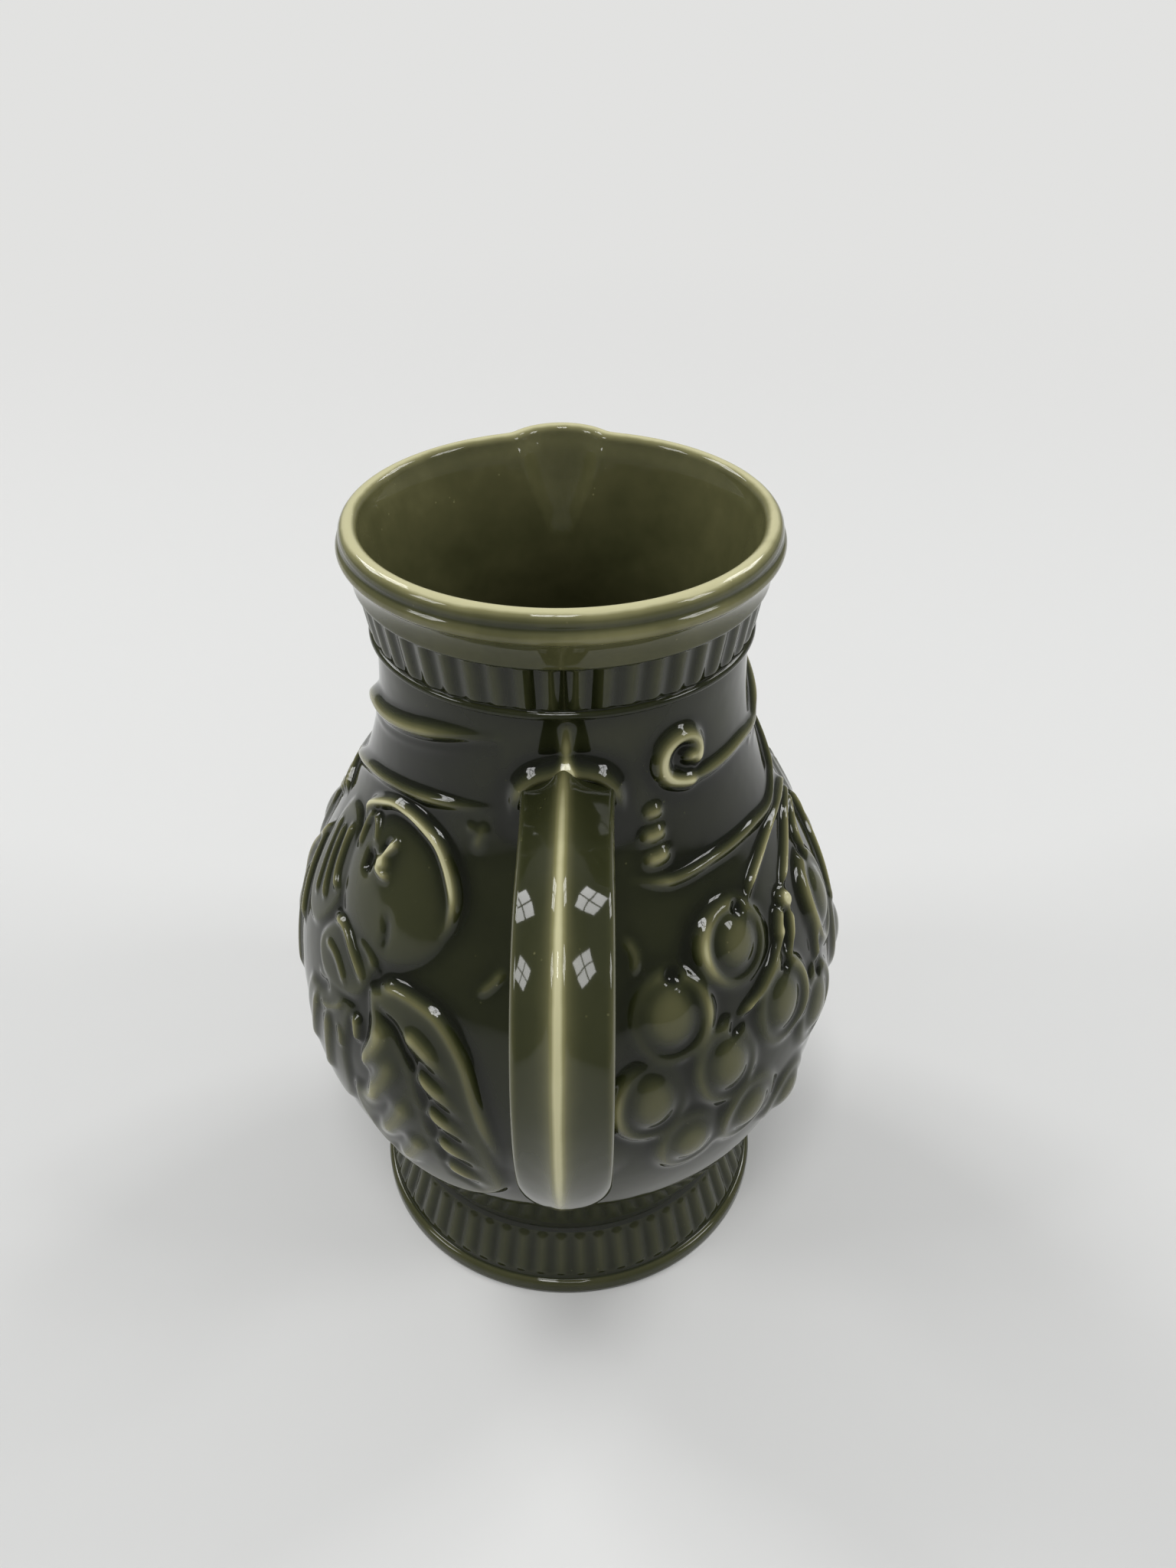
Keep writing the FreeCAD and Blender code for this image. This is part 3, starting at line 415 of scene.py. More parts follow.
# The relief stays inside the solids' box
box_clearance = 0.05
box_turn = np.radians(column_azimuth)[None, :]
side_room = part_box("cherry_10")[1].x * 1000 - box_clearance - row_r[:, None] * np.abs(np.sin(box_turn))
front_room = belly_r - box_clearance + row_r[:, None] * np.minimum(np.cos(box_turn), 0)
relief = np.minimum(relief, np.maximum(np.minimum(side_room, front_room), 0.0))

# The glaze attribute is nought where the glaze pools dark and one where it has run off: it rises
# with how far a place stands above what is near and wide round it, and it holds a painted highlight,
# a pale upright line along the moulding seam.
near_reach, wide_reach = 1.9, 4.5
seam_highlight_half_width, seam_highlight_low_z, seam_highlight_high_z = 1.25, 124, 139
crest = relief - blurred(relief, near_reach)
wide = relief - blurred(relief, wide_reach)
# Painted highlight: a pale upright line along the moulding seam over the handle's root, full from about 132 to
# 139 mm, with a copy at 0.6 of its strength under the lip
seam_highlight = np.exp(-(row_r[:, None] * np.radians(column_azimuth - 0.5)[None, :] / seam_highlight_half_width) ** 2)
seam_highlight_fade = smooth_step((row_z - seam_highlight_low_z) / 8) * (1 - 0.75 * smooth_step((row_z - seam_highlight_high_z) / 8))
seam_highlight = seam_highlight * seam_highlight_fade[:, None]
seam_highlight = np.maximum(seam_highlight, 0.6 * np.roll(seam_highlight, half_turn_columns, 1))
glaze = 0.235 + 0.035 * relief + 0.62 * crest + 0.10 * wide - 0.5 * pooling + 0.95 * seam_highlight

# Cloudy places where it lies thinner: azimuth, height, half width in degrees, half height, amount
thin_patches = ((25, 122, 7, 9, 0.13), (-21, 136, 9, 6, 0.10), (12, 143.5, 18, 5, 0.12),
                (-30, 110, 10, 14, 0.05), (-50, 106, 16, 14, 0.05), (22, 100, 10, 10, 0.04))
for azimuth, z, wide_deg, high, amount in thin_patches:
    for turned in (azimuth, azimuth + 180 if azimuth < 0 else azimuth - 180):
        away = ((column_azimuth[None, :] - turned) / wide_deg) ** 2 + ((row_z[:, None] - z) / high) ** 2
        glaze += amount * np.exp(-away)
top_fade = smooth_step((row_z - 136) / 12)[:, None]
glaze = glaze * (1 - 0.35 * top_fade) + 0.04 * top_fade


def glaze_material(name, mottle=0.10, cloud_scale=85):
    """Olive glaze: colour by how thin it lies (the glaze attribute, which also carries painted shade
    and painted highlights), mottled a little by cloudy noise and a few pale pits, glassy, with the
    faint waviness of a fired surface. The ramp reads attribute + mottle * (noise - 0.5) + pits, where
    pits show in the brighter clouds only."""
    material = bpy.data.materials.new(name)
    material.use_nodes = True
    nodes = material.node_tree.nodes

    def add(kind, sockets, operation=None):
        node = nodes.new("ShaderNode" + kind)
        if operation:
            node.operation = operation
        for socket, value in sockets.items():
            node.inputs[socket].default_value = value
        return node

    shader = nodes["Principled BSDF"]
    shader.inputs["Roughness"].default_value = 0.06
    shader.inputs["Specular IOR Level"].default_value = 0.34
    shader.inputs["IOR"].default_value = 1.5
    thinness = add("Attribute", {})
    thinness.attribute_name = "glaze"
    place = add("TexCoord", {}).outputs["Object"]
    cloud = add("TexNoise", {"Scale": cloud_scale, "Detail": 4, "Roughness": 0.6})
    shift = add("Math", {1: mottle}, "MULTIPLY_ADD")
    total = add("Math", {1: -0.5 * mottle}, "ADD")
    pits = add("TexVoronoi", {"Scale": 420})
    dots = add("MapRange", {"From Min": 0.11, "From Max": 0.05})
    sparse = add("MapRange", {"From Min": 0.52, "From Max": 0.62})
    speckle = add("Math", {}, "MULTIPLY")
    speckled = add("Math", {1: 0.30}, "MULTIPLY_ADD")
    waves = add("TexNoise", {"Scale": 170, "Detail": 1})
    bump = add("Bump", {"Strength": 0.10, "Distance": 0.0006})
    ramp = add("ValToRGB", {})
    stops = ((0.0, (0.0060, 0.0072, 0.0026)), (0.20, (0.0160, 0.0185, 0.0064)), (0.42, (0.043, 0.046, 0.018)),
             (0.66, (0.118, 0.115, 0.050)), (0.86, (0.270, 0.256, 0.120)), (1.0, (0.62, 0.59, 0.35)))
    while len(ramp.color_ramp.elements) < len(stops):
        ramp.color_ramp.elements.new(0.5)
    for element, (position, colour) in zip(ramp.color_ramp.elements, stops):
        element.position = position
        element.color = (*colour, 1)
    for output, socket in (
            (place, cloud.inputs["Vector"]), (place, waves.inputs["Vector"]), (place, pits.inputs["Vector"]),
            (cloud.outputs["Fac"], shift.inputs[0]), (thinness.outputs["Fac"], shift.inputs[2]),
            (shift.outputs[0], total.inputs[0]), (pits.outputs["Distance"], dots.inputs["Value"]),
            (cloud.outputs["Fac"], sparse.inputs["Value"]), (dots.outputs["Result"], speckle.inputs[0]),
            (sparse.outputs["Result"], speckle.inputs[1]), (speckle.outputs[0], speckled.inputs[0]),
            (total.outputs[0], speckled.inputs[2]), (speckled.outputs[0], ramp.inputs["Fac"]),
            (ramp.outputs["Color"], shader.inputs["Base Color"]), (waves.outputs["Fac"], bump.inputs["Height"]),
            (bump.outputs["Normal"], shader.inputs["Normal"])):
        material.node_tree.links.new(output, socket)
    return material


def add_mesh(name, points, faces, tone, material, normals=None):
    """A smooth mesh from points in mm, with its glaze attribute and, if given, its normals."""
    mesh = bpy.data.meshes.new(name)
    mesh.from_pydata((np.asarray(points) * 0.001).tolist(), [], faces)
    thinness = mesh.attributes.new("glaze", "FLOAT", "POINT")
    thinness.data.foreach_set("value", np.asarray(tone, np.float32).ravel())
    mesh.polygons.foreach_set("use_smooth", np.ones(len(mesh.polygons), bool))
    mesh.materials.append(material)
    if normals is not None:
        mesh.normals_split_custom_set_from_vertices(normals)
    mesh.update()
    piece = bpy.data.objects.new(name, mesh)
    bpy.context.scene.collection.objects.link(piece)
    return piece


def grid_faces(rows, columns, closed=False, start=0):
    """Quads of a grid stored row by row; closed grids join the last column to the first."""
    index = start + np.arange(rows * columns).reshape(rows, columns)
    right = np.roll(index, -1, 1) if closed else index[:, 1:]
    left = index if closed else index[:, :-1]
    quads = np.stack([left[:-1], right[:-1], right[1:], left[1:]], -1)
    return quads.reshape(-1, 4).tolist()


def skin_points(azimuth, rise):
    """Points moved off the side by a rise along its own normal."""
    turn = np.radians(azimuth)[None, :]
    reach = row_r[:, None] + row_out[:, None] * rise
    z = row_z[:, None] + row_up[:, None] * rise
    across = reach * np.sin(turn)
    return np.stack([across, -reach * np.cos(turn), z + 0 * across], -1)


outer = skin_points(column_azimuth, relief)
ahead = np.roll(outer, -1, 1) - np.roll(outer, 1, 1)
upward = np.gradient(outer, axis=0)
outer_normal = np.cross(ahead, upward)
outer_normal /= np.linalg.norm(outer_normal, axis=-1, keepdims=True)
skin_glaze = glaze_material("relief_glaze", 0.09)


def add_skin(name, first_column):
    """One quarter of the side, closed behind by a coarse back and strips along its four edges."""
    columns = (first_column + np.arange(quarter_columns + 1)) % column_count
    front = outer[:, columns]
    rows, count = front.shape[:2]
    keep_rows, keep_columns = np.arange(0, rows, back_step), np.arange(0, count, back_step)
    back = skin_points(column_azimuth[columns], np.full((rows, count), -skin_depth))
    back = back[np.ix_(keep_rows, keep_columns)]
    index = np.arange(rows * count).reshape(rows, count)
    behind = rows * count + np.arange(back.shape[0] * back.shape[1]).reshape(back.shape[:2])
    faces = grid_faces(rows, count)
    faces += [face[::-1] for face in grid_faces(*back.shape[:2], start=rows * count)]
    for k in range(back.shape[1] - 1):
        span = index[:, k * back_step:(k + 1) * back_step + 1]
        faces.append([*span[0][::-1].tolist(), int(behind[0, k]), int(behind[0, k + 1])])
        faces.append([*span[-1].tolist(), int(behind[-1, k + 1]), int(behind[-1, k])])
    for k in range(back.shape[0] - 1):
        span = index[k * back_step:(k + 1) * back_step + 1]
        faces.append([*span[:, 0].tolist(), int(behind[k + 1, 0]), int(behind[k, 0])])
        faces.append([*span[::-1, -1].tolist(), int(behind[k, -1]), int(behind[k + 1, -1])])
    tone = np.concatenate([glaze[:, columns].ravel(), np.full(back.size // 3, 0.2)])
    inward = -back * [1, 1, 0]
    inward = (inward / np.linalg.norm(inward, axis=-1, keepdims=True)).reshape(-1, 3)
    normals = np.concatenate([outer_normal[:, columns].reshape(-1, 3), inward])
    points = np.concatenate([front.reshape(-1, 3), back.reshape(-1, 3)])
    skin = add_mesh(name, points, faces, tone, skin_glaze, normals)
    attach(skin, "root")
    return skin


left_motifs = ("ribbon_left", "round_fruit", "fruit_stem", "fruit_calyx", "large_leaf",
               "small_leaf", "leaf_folds")
right_motifs = ("ribbon_right", "ribbon_scroll", "ribbon_folds", "cherry_stems", "cherry_buds",
                *["cherry_%d" % number for number in range(1, 12)])
quarters = (("side_near_left", -90, "", left_motifs), ("side_near_right", 0, "", right_motifs),
            ("side_far_right", 90, "far_", left_motifs), ("side_far_left", 180, "far_", right_motifs))
for quarter_name, start_azimuth, prefix, motifs in quarters:
    first = int(round((start_azimuth + 180) * column_count / 360)) % column_count
    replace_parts(add_skin(quarter_name, first), *[prefix + motif for motif in motifs])


# The vessel: neck, rim, lip, hollow and floor in one turned surface, with the lip pushed out of
# it. The real one is the same casting as the side: fluted tongues under a double-rolled rim, all
# glazed inside and out, palest where the glaze runs off the rim's two rolls.
tongue_count, samples_per_tongue, tongue_rise = 50, 10, 0.5
band_low_z, band_top_z, rim_z = 149.6, 159.0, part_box("rim_band")[1].z * 1000
crest_r = 37.7
wall, inner_neck_r, inner_flare, inner_bow = 3.6, 31.2, 3.7, 1.3
inner_top_z, floor_z = 166.0, 21.5
lip_centre_y, lip_r, lip_blend, trough_blend = 31.5, 10.4, 0.8, 1.6


def arc_through(start, middle, end, count):
    """Points of the circular arc through three points of a plane, the last one left off: the
    centre is where the perpendicular bisectors meet."""
    (x0, y0), (x1, y1), (x2, y2) = start, middle, end
    d = 2 * (x0 * (y1 - y2) + x1 * (y2 - y0) + x2 * (y0 - y1))
    s0, s1, s2 = x0 * x0 + y0 * y0, x1 * x1 + y1 * y1, x2 * x2 + y2 * y2
    cx = (s0 * (y1 - y2) + s1 * (y2 - y0) + s2 * (y0 - y1)) / d
    cy = (s0 * (x2 - x1) + s1 * (x0 - x2) + s2 * (x1 - x0)) / d
    turns = np.unwrap([math.atan2(y - cy, x - cx) for x, y in (start, middle, end)])
    turn = np.linspace(turns[0], turns[2], count, endpoint=False)
    r = math.hypot(x0 - cx, y0 - cy)
    return np.stack([cx + r * np.cos(turn), cy + r * np.sin(turn)], -1)


def straight(start, end, count):
    """Evenly spaced points from start towards end, the last one left off."""
    share = np.linspace(0, 1, count, endpoint=False)[:, None]
    return np.array(start, float) * (1 - share) + np.array(end, float) * share


def inner_radius(z):
    """Radius of the hollow: the side less its wall, opening a little from the neck to the rim."""
    z = np.asarray(z, float)
    slope = np.gradient(side_radius(fine_z), fine_z)
    lean = np.hypot(np.interp(z, fine_z, slope), 1)
    low = side_radius(z) - wall * lean
    share = np.clip((z - neck_z) / (inner_top_z - neck_z), 0, 1)
    high = inner_neck_r + inner_flare * share - inner_bow * share * (1 - share)
    return np.where(z < neck_z, low, high)


def vessel_profile():
    """Rows (radius, height, flute share, lip share, glaze) from the underside round the outside,
    over the rim, down the hollow and over the floor to its centre."""
    rows = []

    def add(points, flute=0.0, lip=0.0, tone=0.2):
        parts = [np.broadcast_to(np.asarray(v, float), (len(points),)) for v in (flute, lip, tone)]
        rows.append(np.column_stack([points, *parts]))

    add(straight((0.8, foot_top_z), (38.2, foot_top_z), 6), tone=0.3)
    hidden_z = np.linspace(foot_top_z, 146.5, 16)
    add(np.stack([side_radius(hidden_z) - 1.25, hidden_z], -1))

    # The bead and the band of tongues, whose toes are round and whose heads run into the lip
    add(straight((34.2, 147.8), (34.9, 148.0), 2), tone=0.12)
    add(arc_through((35.2, 148.0), (36.0, 148.8), (35.2, band_low_z), 9), tone=np.linspace(0.12, 0.30, 9))
    share = np.linspace(0, 1, 27)[:-1]
    band_z = band_low_z + (band_top_z - band_low_z) * share
    band_r = 35.2 + 1.6 * share
    toe_share = np.clip(share / 0.24, 0, 1)
    into_lip = np.clip((band_z - 149.5) / 9.5, 0, 1)
    add(np.stack([band_r, band_z], -1), flute=np.sqrt(toe_share * (2 - toe_share)), lip=into_lip,
        tone=0.17 + 0.03 * share)

    # The cove, the outer roll and the rim's crest, where the glaze gets thinner row by row
    add(straight((crest_r, band_top_z), (37.9, 159.25), 2), lip=1, tone=0.30)
    add(arc_through((37.95, 159.4), (38.3, 162.0), (39.35, 164.3), 12), lip=1, tone=np.linspace(0.50, 0.56, 12))
    add(arc_through((39.45, 164.4), (40.2, 165.7), (39.5, 166.9), 10), lip=1,
        tone=0.60 + 0.12 * np.sin(np.linspace(0, math.pi, 10)))
    add(arc_through((39.35, 167.15), (39.15, 169.15), (crest_r, rim_z), 8), lip=1,
        tone=np.array([0.42, 0.40, 0.48, 0.58, 0.70, 0.82, 0.95, 1.04]))
    add(arc_through((crest_r, rim_z), (36.5, 169.5), (36.0, 168.3), 8), lip=-1,
        tone=np.array([1.06, 1.04, 0.98, 0.90, 0.82, 0.75, 0.70, 0.67]))

    # The hollow and the floor
    z = np.linspace(168.0, 150.0, 22)
    mouth_r = inner_neck_r + inner_flare + (z - inner_top_z) * 0.48
    add(np.stack([np.where(z > inner_top_z, mouth_r, inner_radius(z)), z], -1),
        lip=-smooth_step((z - 147) / 21), tone=np.linspace(0.66, 0.56, 22))
    z = np.linspace(149.4, 30.0, 44)
    add(np.stack([inner_radius(z), z], -1), tone=np.interp(z, [30, 70, 120, 149], [0.44, 0.50, 0.54, 0.56]))
    add(arc_through((40.6, 28.4), (38.2, 23.6), (33.0, floor_z), 8), tone=0.34)
    add(straight((32.0, floor_z), (0.8, floor_z), 10), tone=np.linspace(0.34, 0.40, 10))
    return np.vstack(rows)


def lip_push(turn, radius, share):
    """How far the lip's round outline stands out of a circle at an angle from the lip: the larger
    of the two by a smooth maximum, (over + sqrt(over2 + blend2)) / 2 less a little. Shares below
    nought are rows of the hollow: their round keeps its width and only draws back."""
    hollow = share < 0
    size = np.abs(share)
    round_r = lip_r * np.where(hollow, 0.72 + 0.28 * size, 0.35 + 0.65 * size) + (radius - crest_r)
    beak_tip = radius + size * (lip_centre_y + lip_r - crest_r)
    centre = np.where(hollow, beak_tip - round_r, lip_centre_y)
    across = centre * np.sin(turn)
    beak = centre * np.cos(turn) + np.sqrt(np.maximum(round_r ** 2 - across ** 2, 0))
    beak = np.where((np.abs(across) < round_r) & (np.cos(turn) > 0), beak, 0)
    over = beak - radius
    blend = np.where(hollow, trough_blend, lip_blend)
    push = 0.5 * (over + np.sqrt(over ** 2 + blend ** 2) - blend * 0.15) * (over > -6)
    return np.where(hollow, smooth_step(4 * size), size) * push


profile = vessel_profile()
vessel_columns = tongue_count * samples_per_tongue
turn = np.arange(vessel_columns) * 2 * math.pi / vessel_columns
lobe = (turn * tongue_count / (2 * math.pi)) % 1
lobe = 0.5 - 0.5 * np.cos(2 * math.pi * lobe)
radius, height, flute, lip, tone = profile.T
pushed = lip_push(turn[None, :] - math.pi, radius[:, None], lip[:, None])
swept = radius[:, None] + tongue_rise * flute[:, None] * lobe[None, :] + pushed
vessel_points = np.stack([swept * np.sin(turn), -swept * np.cos(turn),
                          np.broadcast_to(height[:, None], swept.shape)], -1)
vessel_tone = tone[:, None] + 0.30 * flute[:, None] * (lobe[None, :] ** 1.3 - 0.2)
vessel_faces = grid_faces(len(profile), vessel_columns, closed=True)
centre_low, centre_floor = vessel_points.size // 3, vessel_points.size // 3 + 1
last = (len(profile) - 1) * vessel_columns
for k in range(vessel_columns):
    following = (k + 1) % vessel_columns
    vessel_faces.append([centre_low, following, k])
    vessel_faces.append([centre_floor, last + k, last + following])
vessel_points = np.vstack([vessel_points.reshape(-1, 3), [[0, 0, foot_top_z], [0, 0, floor_z]]])
vessel_tone = np.concatenate([vessel_tone.ravel(), [0.3, 0.32]])
vessel = add_mesh("vessel", vessel_points, vessel_faces, vessel_tone,
                  glaze_material("body_glaze", mottle=0.46, cloud_scale=42))
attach(vessel, "root")
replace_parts(vessel, "jug_wall", "neck_band", "rim_band", "pouring_lip")


# The foot: a low pedestal ring under the belly. On the real jug it is cast with the body: sixty
# upright ribs over a rounded flange, its glaze thin and pale on the ribs, dark between them.
rib_count, samples_per_rib, rib_rise = 60, 12, 0.6


def foot_rows():
    """Rows (radius, height, rib share, glaze) round the ring's section, from its inner top edge
    down the hollow side, across the tread and up the outside."""
    rib_share = np.linspace(0, 1, 19)
    rise = np.sqrt(np.clip(np.minimum(rib_share / 0.14, (1 - rib_share) / 0.14), 0, 1))
    outside = np.stack([43.4 - 3.6 * rib_share, 4.7 + 10.3 * rib_share], -1)
    blocks = [(straight((34.5, 16.5), (39.3, 0.3), 10), 0, 0.25),
              (straight((39.6, 0.0), (44.7, 0.0), 6), 0, 0.35),
              (straight((45.0, 0.3), (45.0, 2.1), 3), 0, 0.40),
              (arc_through((45.0, 2.1), (44.62, 3.02), (43.7, 3.4), 6), 0, np.linspace(0.42, 0.52, 6)),
              (straight((43.6, 3.5), (43.4, 4.6), 3), 0, 0.22),
              (outside, rise, 0.27 + 0.05 * rib_share),
              (straight((39.75, 15.2), (39.2, 16.7), 4), 0, 0.12),
              (straight((38.8, 16.9), (35.0, 16.9), 4), 0, 0.2)]
    rows = []
    for points, rib, tone_share in blocks:
        parts = [np.broadcast_to(np.asarray(v, float), (len(points),)) for v in (rib, tone_share)]
        rows.append(np.column_stack([points, *parts]))
    return np.vstack(rows)


foot_radius, foot_height, rib, foot_tone = foot_rows().T
foot_columns = rib_count * samples_per_rib
foot_turn = np.arange(foot_columns) * 2 * math.pi / foot_columns
rib_lobe = (foot_turn * rib_count / (2 * math.pi)) % 1
rib_lobe = (0.5 - 0.5 * np.cos(2 * math.pi * rib_lobe)) ** 0.75
foot_swept = foot_radius[:, None] + rib_rise * rib[:, None] * rib_lobe[None, :]
foot_points = np.stack([foot_swept * np.sin(foot_turn), -foot_swept * np.cos(foot_turn),
                        np.broadcast_to(foot_height[:, None], foot_swept.shape)], -1)
foot_glaze = foot_tone[:, None] + 0.24 * rib[:, None] * (rib_lobe[None, :] ** 1.4 - 0.35)
foot_faces = grid_faces(len(foot_radius), foot_columns, closed=True)
last = (len(foot_radius) - 1) * foot_columns
foot_faces += [[last + k, last + (k + 1) % foot_columns, (k + 1) % foot_columns, k]
               for k in range(foot_columns)]
foot = add_mesh("foot", foot_points.reshape(-1, 3), foot_faces, foot_glaze.ravel(),
                glaze_material("foot_glaze", mottle=0.14))
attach(foot, "root")
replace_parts(foot, "foot_ring")


# The handle: a strap with a blunt keel along its back, level out of the neck, turned down and
# back to the belly. The real one is cast with the body; its glaze is thin and light on the
# flanks and runs off the keel and the two edges, which show the pale clay through it.
handle_top_z, shoulder_r, reach, back_r = 134.5, 26.0, 87.0, 45.0
back_turn = math.radians(52)
root_inside, belly_run = 30.0, 18.5
lean, lean_y = math.radians(-1.7), 52.0
strap_half, strap_side, strap_inner = 7.9, 7.4, 4.6
keel_x, keel_out, keel_half, keel_shoulder = -0.6, 4.3, 1.5, 3.6
edge_out, edge_middle, edge_in, flank_sag = 0.5, -1.2, -2.4, 0.35


def handle_path(count):
    """Evenly spaced points (outward, height), outward directions and lengths along the handle:
    a level run, a quarter turn, a wider arc and a straight run into the belly."""
    pieces = [straight((root_inside, handle_top_z), (reach - shoulder_r, handle_top_z), 60)]
    quarter = np.linspace(0, math.pi / 2, 80, endpoint=False)
    pieces.append(np.stack([reach - shoulder_r + shoulder_r * np.sin(quarter),
                            handle_top_z - shoulder_r + shoulder_r * np.cos(quarter)], -1))
    fall = np.linspace(0, back_turn, 80)
    pieces.append(np.stack([reach - back_r + back_r * np.cos(fall),
                            handle_top_z - shoulder_r - back_r * np.sin(fall)], -1))
    end = pieces[-1][-1]
    fall_line = [-math.sin(back_turn), -math.cos(back_turn)]
    pieces.append(end + np.linspace(0, belly_run, 30)[1:, None] * fall_line)
    line = np.vstack(pieces)
    s = np.concatenate([[0], np.cumsum(np.linalg.norm(np.diff(line, axis=0), axis=1))])
    even = np.linspace(0, s[-1], count)
    line = np.stack([np.interp(even, s, line[:, k]) for k in (0, 1)], -1)
    ahead = np.gradient(line, axis=0)
    ahead /= np.linalg.norm(ahead, axis=1, keepdims=True)
    return line, np.stack([-ahead[:, 1], ahead[:, 0]], -1), even


def strap_outline():
    """Section (across, outward) from the keel round one edge, the inner face and the other edge,
    in circular arcs, with the glaze attribute by how near each point is to the keel or an edge."""
    right, left = keel_x + keel_half, keel_x - keel_half
    flank = (keel_shoulder + edge_out) / 2 - flank_sag
    arcs = [((keel_x, keel_out), (keel_x + 0.85, 4.06), (right, keel_shoulder), 7),
            ((right, keel_shoulder), ((right + strap_side) / 2, flank), (strap_side, edge_out), 14),
            ((strap_side, edge_out), (strap_half, edge_middle), (strap_side, edge_in), 10),
            ((strap_side, edge_in), (0, -strap_inner), (-strap_side, edge_in), 20),
            ((-strap_side, edge_in), (-strap_half, edge_middle), (-strap_side, edge_out), 10),
            ((-strap_side, edge_out), ((left - strap_side) / 2, flank), (left, keel_shoulder), 14),
            ((left, keel_shoulder), (keel_x - 0.85, 4.06), (keel_x, keel_out), 7)]
    points = np.vstack([arc_through(*arc) for arc in arcs])
    x, out = points.T
    from_keel = np.abs(x - keel_x) + 3 * (out < 0)
    keel_tone = 0.46 * np.exp(-(from_keel / 1.25) ** 2) + 0.20 * np.exp(-(from_keel / 2.7) ** 2)
    edge_tone = 0.22 * np.exp(-((np.abs(x) - 7.75) / 0.75) ** 2) * (out > -2.2)
    return points, 0.30 + keel_tone + edge_tone


# The strap along its path: it flares a little at both roots, and its keel rounds off low down
strap, strap_tone = strap_outline()
path, outward, path_s = handle_path(260)
from_wall = np.clip(path[:, 0] - side_radius(path[:, 1]), -6, 30)
flare_share = np.where(path_s < path_s[-1] / 2, 0.07, 0.02)
scale = (1 + flare_share * np.exp(-np.maximum(from_wall + 1.0, 0) / 4.0))[:, None]
across = strap[None, :, 0] * scale
low_end = smooth_step((path_s - 78) / 26)[:, None]
rounded = edge_middle + strap_inner * np.sqrt(np.maximum(1 - (strap[:, 0] / 7.95) ** 2, 0))
rounded = np.where(strap[:, 1] > edge_middle, rounded, strap[:, 1])
raised = (strap[None, :, 1] * (1 - low_end) + rounded[None, :] * low_end) * scale
handle_out = path[:, None, 0] + outward[:, None, 0] * raised
handle_z = path[:, None, 1] + outward[:, None, 1] * raised
handle_x = across * math.cos(lean) + (handle_out - lean_y) * math.sin(lean)
handle_y = across * math.sin(lean) - (handle_out - lean_y) * math.cos(lean) - lean_y

# Its ends stop inside the wall: what would reach the hollow is drawn out to a depth in the clay
root_depth = 2.4
kept_out = np.maximum((side_radius(handle_z) - root_depth) / np.hypot(handle_x, handle_y), 1)
handle_points = np.stack([handle_x * kept_out, handle_y * kept_out, handle_z], -1)
# The strap's tone holds painted shade near both roots and down its lower run, and a painted highlight on its
# shoulder
root_shade = np.exp(-np.maximum(from_wall - 1.0, 0) / 4.5)[:, None]
shoulder_light = np.exp(-((path_s[:, None] - 62) / 26) ** 2)
painted_low_shade = 1 - 0.40 * smooth_step((path_s[:, None] - 80) / 40)
handle_tone = strap_tone[None, :] * (1 - 0.35 * root_shade) * painted_low_shade + 0.09 * shoulder_light
stations, around = handle_points.shape[:2]
handle_faces = [face[::-1] for face in grid_faces(stations, around, closed=True)]
last_ring = (stations - 1) * around
ends = np.stack([handle_points[0].mean(0), handle_points[-1].mean(0)])
for k in range(around):
    following = (k + 1) % around
    handle_faces.append([stations * around, k, following])
    handle_faces.append([stations * around + 1, last_ring + following, last_ring + k])
handle = add_mesh("handle_strap", np.vstack([handle_points.reshape(-1, 3), ends]), handle_faces,
                  np.concatenate([handle_tone.ravel(), [0.3, 0.3]]),
                  glaze_material("handle_glaze", mottle=0.12))
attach(handle, "root")
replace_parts(handle, "handle")


# The set, in metres: a plain pale floor that curves up into a wall all round, five soft window-like
# lamps overhead, and the camera where the photograph was taken, above the handle.
wall_r, wall_top, bend_r, stage_sides = 4.8, 4.4, 1.2, 96
plain_from, plain_to = 0.25, 0.9
window_distance = 2.0
jug_middle = (0, 0, 0.10)


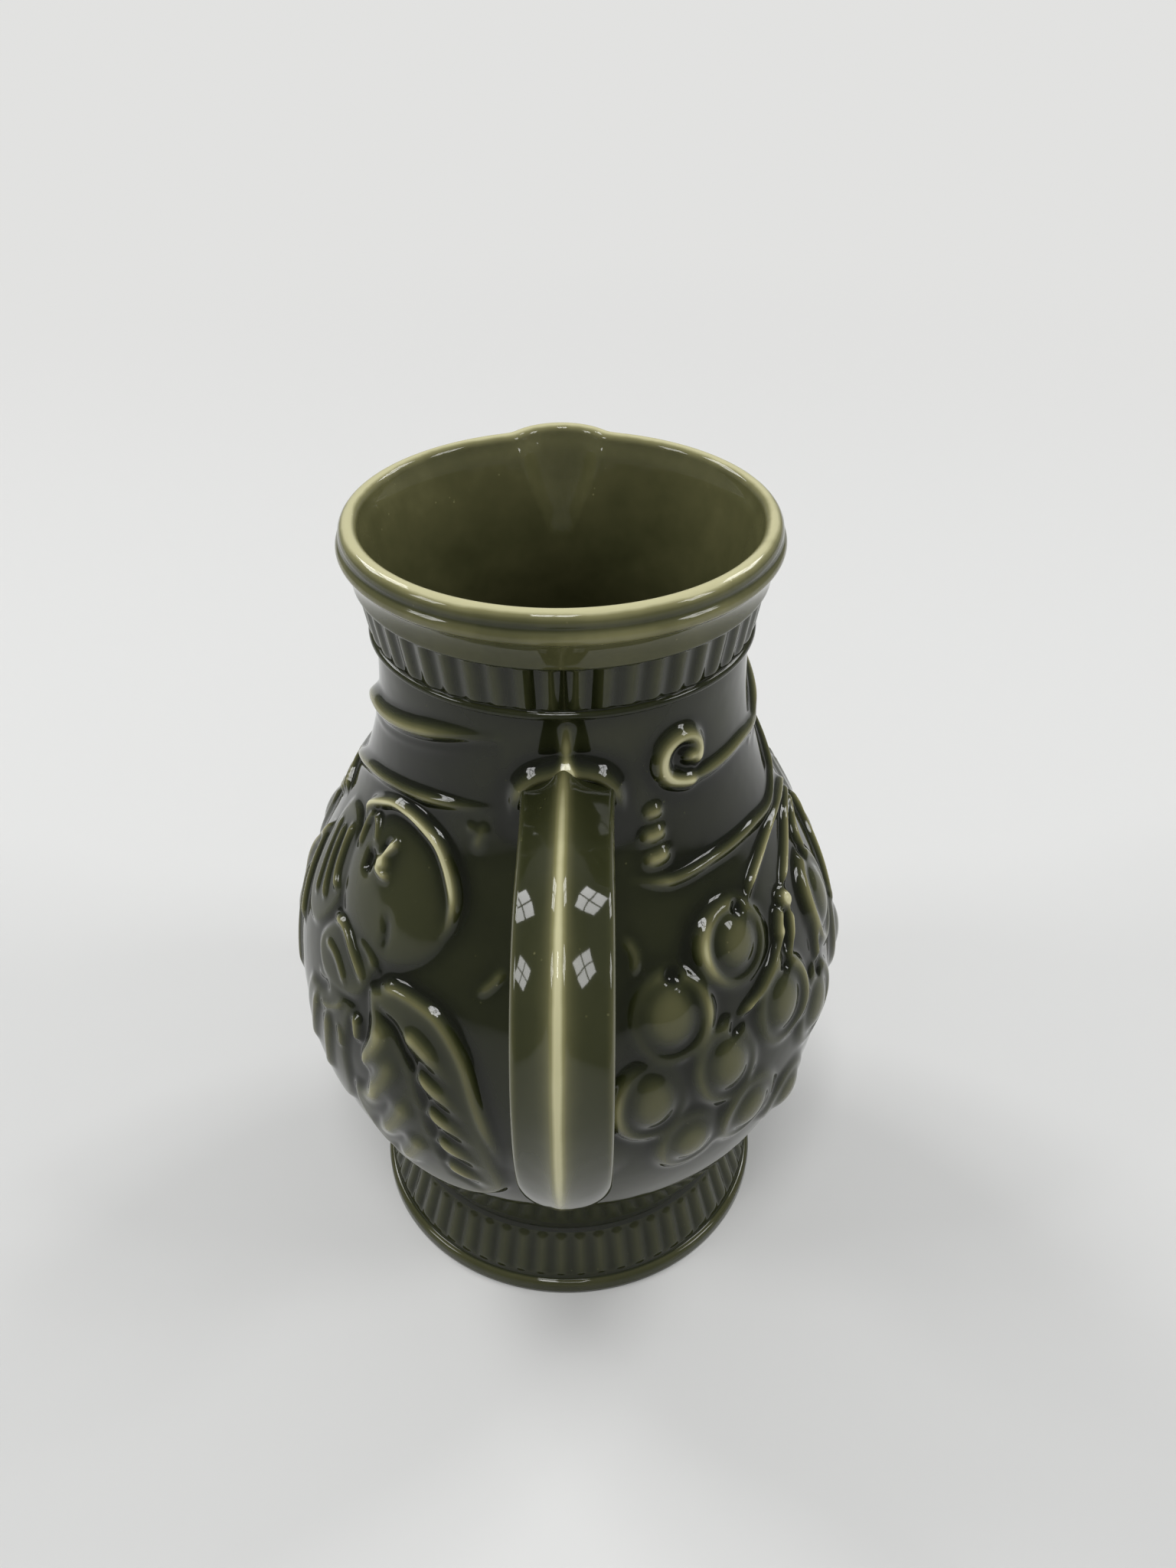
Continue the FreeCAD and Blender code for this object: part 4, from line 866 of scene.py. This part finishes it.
def add_stage():
    """A bowl of revolution: flat floor, quarter-round bend and upright wall. Round the jug it shows
    its shadows; farther off the camera sees its paint as one even tone."""
    bend = np.linspace(0, math.pi / 2, 14)
    round_rows = np.stack([wall_r - bend_r + bend_r * np.sin(bend), bend_r - bend_r * np.cos(bend)], -1)
    section = np.vstack([[[0.02, 0], [0.6, 0], [2.4, 0]], round_rows, [[wall_r, wall_top]]])
    turns = np.arange(stage_sides) * 2 * math.pi / stage_sides
    points = np.stack([section[:, :1] * np.sin(turns), -section[:, :1] * np.cos(turns),
                       np.broadcast_to(section[:, 1:], (len(section), stage_sides))], -1).reshape(-1, 3)
    faces = [face[::-1] for face in grid_faces(len(section), stage_sides, closed=True)]
    faces.append(list(range(stage_sides)))
    mesh = bpy.data.meshes.new("floor_and_wall")
    mesh.from_pydata(points.tolist(), [], faces)
    mesh.polygons.foreach_set("use_smooth", np.ones(len(mesh.polygons), bool))
    floor = bpy.data.objects.new("floor_and_wall", mesh)
    bpy.context.scene.collection.objects.link(floor)
    paint = bpy.data.materials.new("pale_paint")
    paint.use_nodes = True
    nodes, links = paint.node_tree.nodes, paint.node_tree.links
    matt = nodes["Principled BSDF"]
    matt.inputs["Base Color"].default_value = (0.78, 0.78, 0.77, 1)
    matt.inputs["Roughness"].default_value = 0.9
    even = nodes.new("ShaderNodeEmission")
    even.inputs["Color"].default_value = (0.76, 0.76, 0.75, 1)
    even.inputs["Strength"].default_value = 1.0
    rays = nodes.new("ShaderNodeLightPath")
    place = nodes.new("ShaderNodeTexCoord")
    length = nodes.new("ShaderNodeVectorMath")
    length.operation = "LENGTH"
    away = nodes.new("ShaderNodeMapRange")
    away.interpolation_type = "SMOOTHSTEP"
    away.inputs["From Min"].default_value = plain_from
    away.inputs["From Max"].default_value = plain_to
    seen = nodes.new("ShaderNodeMath")
    seen.operation = "MULTIPLY"
    mixed = nodes.new("ShaderNodeMixShader")
    links.new(place.outputs["Object"], length.inputs[0])
    links.new(length.outputs["Value"], away.inputs["Value"])
    links.new(away.outputs["Result"], seen.inputs[0])
    links.new(rays.outputs["Is Camera Ray"], seen.inputs[1])
    links.new(seen.outputs[0], mixed.inputs["Fac"])
    links.new(matt.outputs["BSDF"], mixed.inputs[1])
    links.new(even.outputs["Emission"], mixed.inputs[2])
    links.new(mixed.outputs["Shader"], nodes["Material Output"].inputs["Surface"])
    mesh.materials.append(paint)


def add_window(name, direction, width, watts):
    """Four square lamp panes in two rows, facing the jug, with narrow bars between."""
    toward = Vector(direction).normalized()
    turn = toward.to_track_quat("Z", "Y")
    for column in (-0.25, 0.25):
        for row in (-0.25, 0.25):
            lamp = bpy.data.lights.new("%s_pane" % name, "AREA")
            lamp.shape = "RECTANGLE"
            lamp.size = lamp.size_y = 0.44 * width
            lamp.energy = watts / 4
            pane = bpy.data.objects.new("%s_pane" % name, lamp)
            pane.rotation_mode = "QUATERNION"
            pane.rotation_quaternion = turn
            aside = turn @ Vector((column * width, row * width, 0))
            pane.location = Vector(jug_middle) + toward * window_distance + aside
            bpy.context.scene.collection.objects.link(pane)


add_stage()
windows = (("far_left", (-0.60, 0.46, 0.63), 0.72, 12), ("far_right", (0.62, 0.45, 0.62), 0.62, 9),
           ("near_left", (-0.78, -0.20, 0.58), 0.52, 7), ("near_right", (0.78, -0.20, 0.58), 0.56, 8),
           ("over", (-0.05, -0.40, 0.90), 0.55, 11))
for window_name, direction, width, watts in windows:
    add_window(window_name, direction, width, watts)

world = bpy.data.worlds.new("studio")
world.use_nodes = True
world.node_tree.nodes["Background"].inputs["Color"].default_value = (0.27, 0.275, 0.28, 1)
world.node_tree.nodes["Background"].inputs["Strength"].default_value = 1.0
bpy.context.scene.world = world
bpy.context.scene.view_settings.view_transform = "Standard"

camera_data = bpy.data.cameras.new("camera")
camera_data.sensor_fit = "VERTICAL"
camera_data.sensor_height = 36
camera_data.sensor_width = 36
camera_data.lens = 29.88
camera = bpy.data.objects.new("camera", camera_data)
camera.location = (0, -0.2159, 0.2657)
camera.rotation_euler = (math.radians(90 - 35.89), 0, math.radians(-1.26))
bpy.context.scene.collection.objects.link(camera)
bpy.context.scene.camera = camera
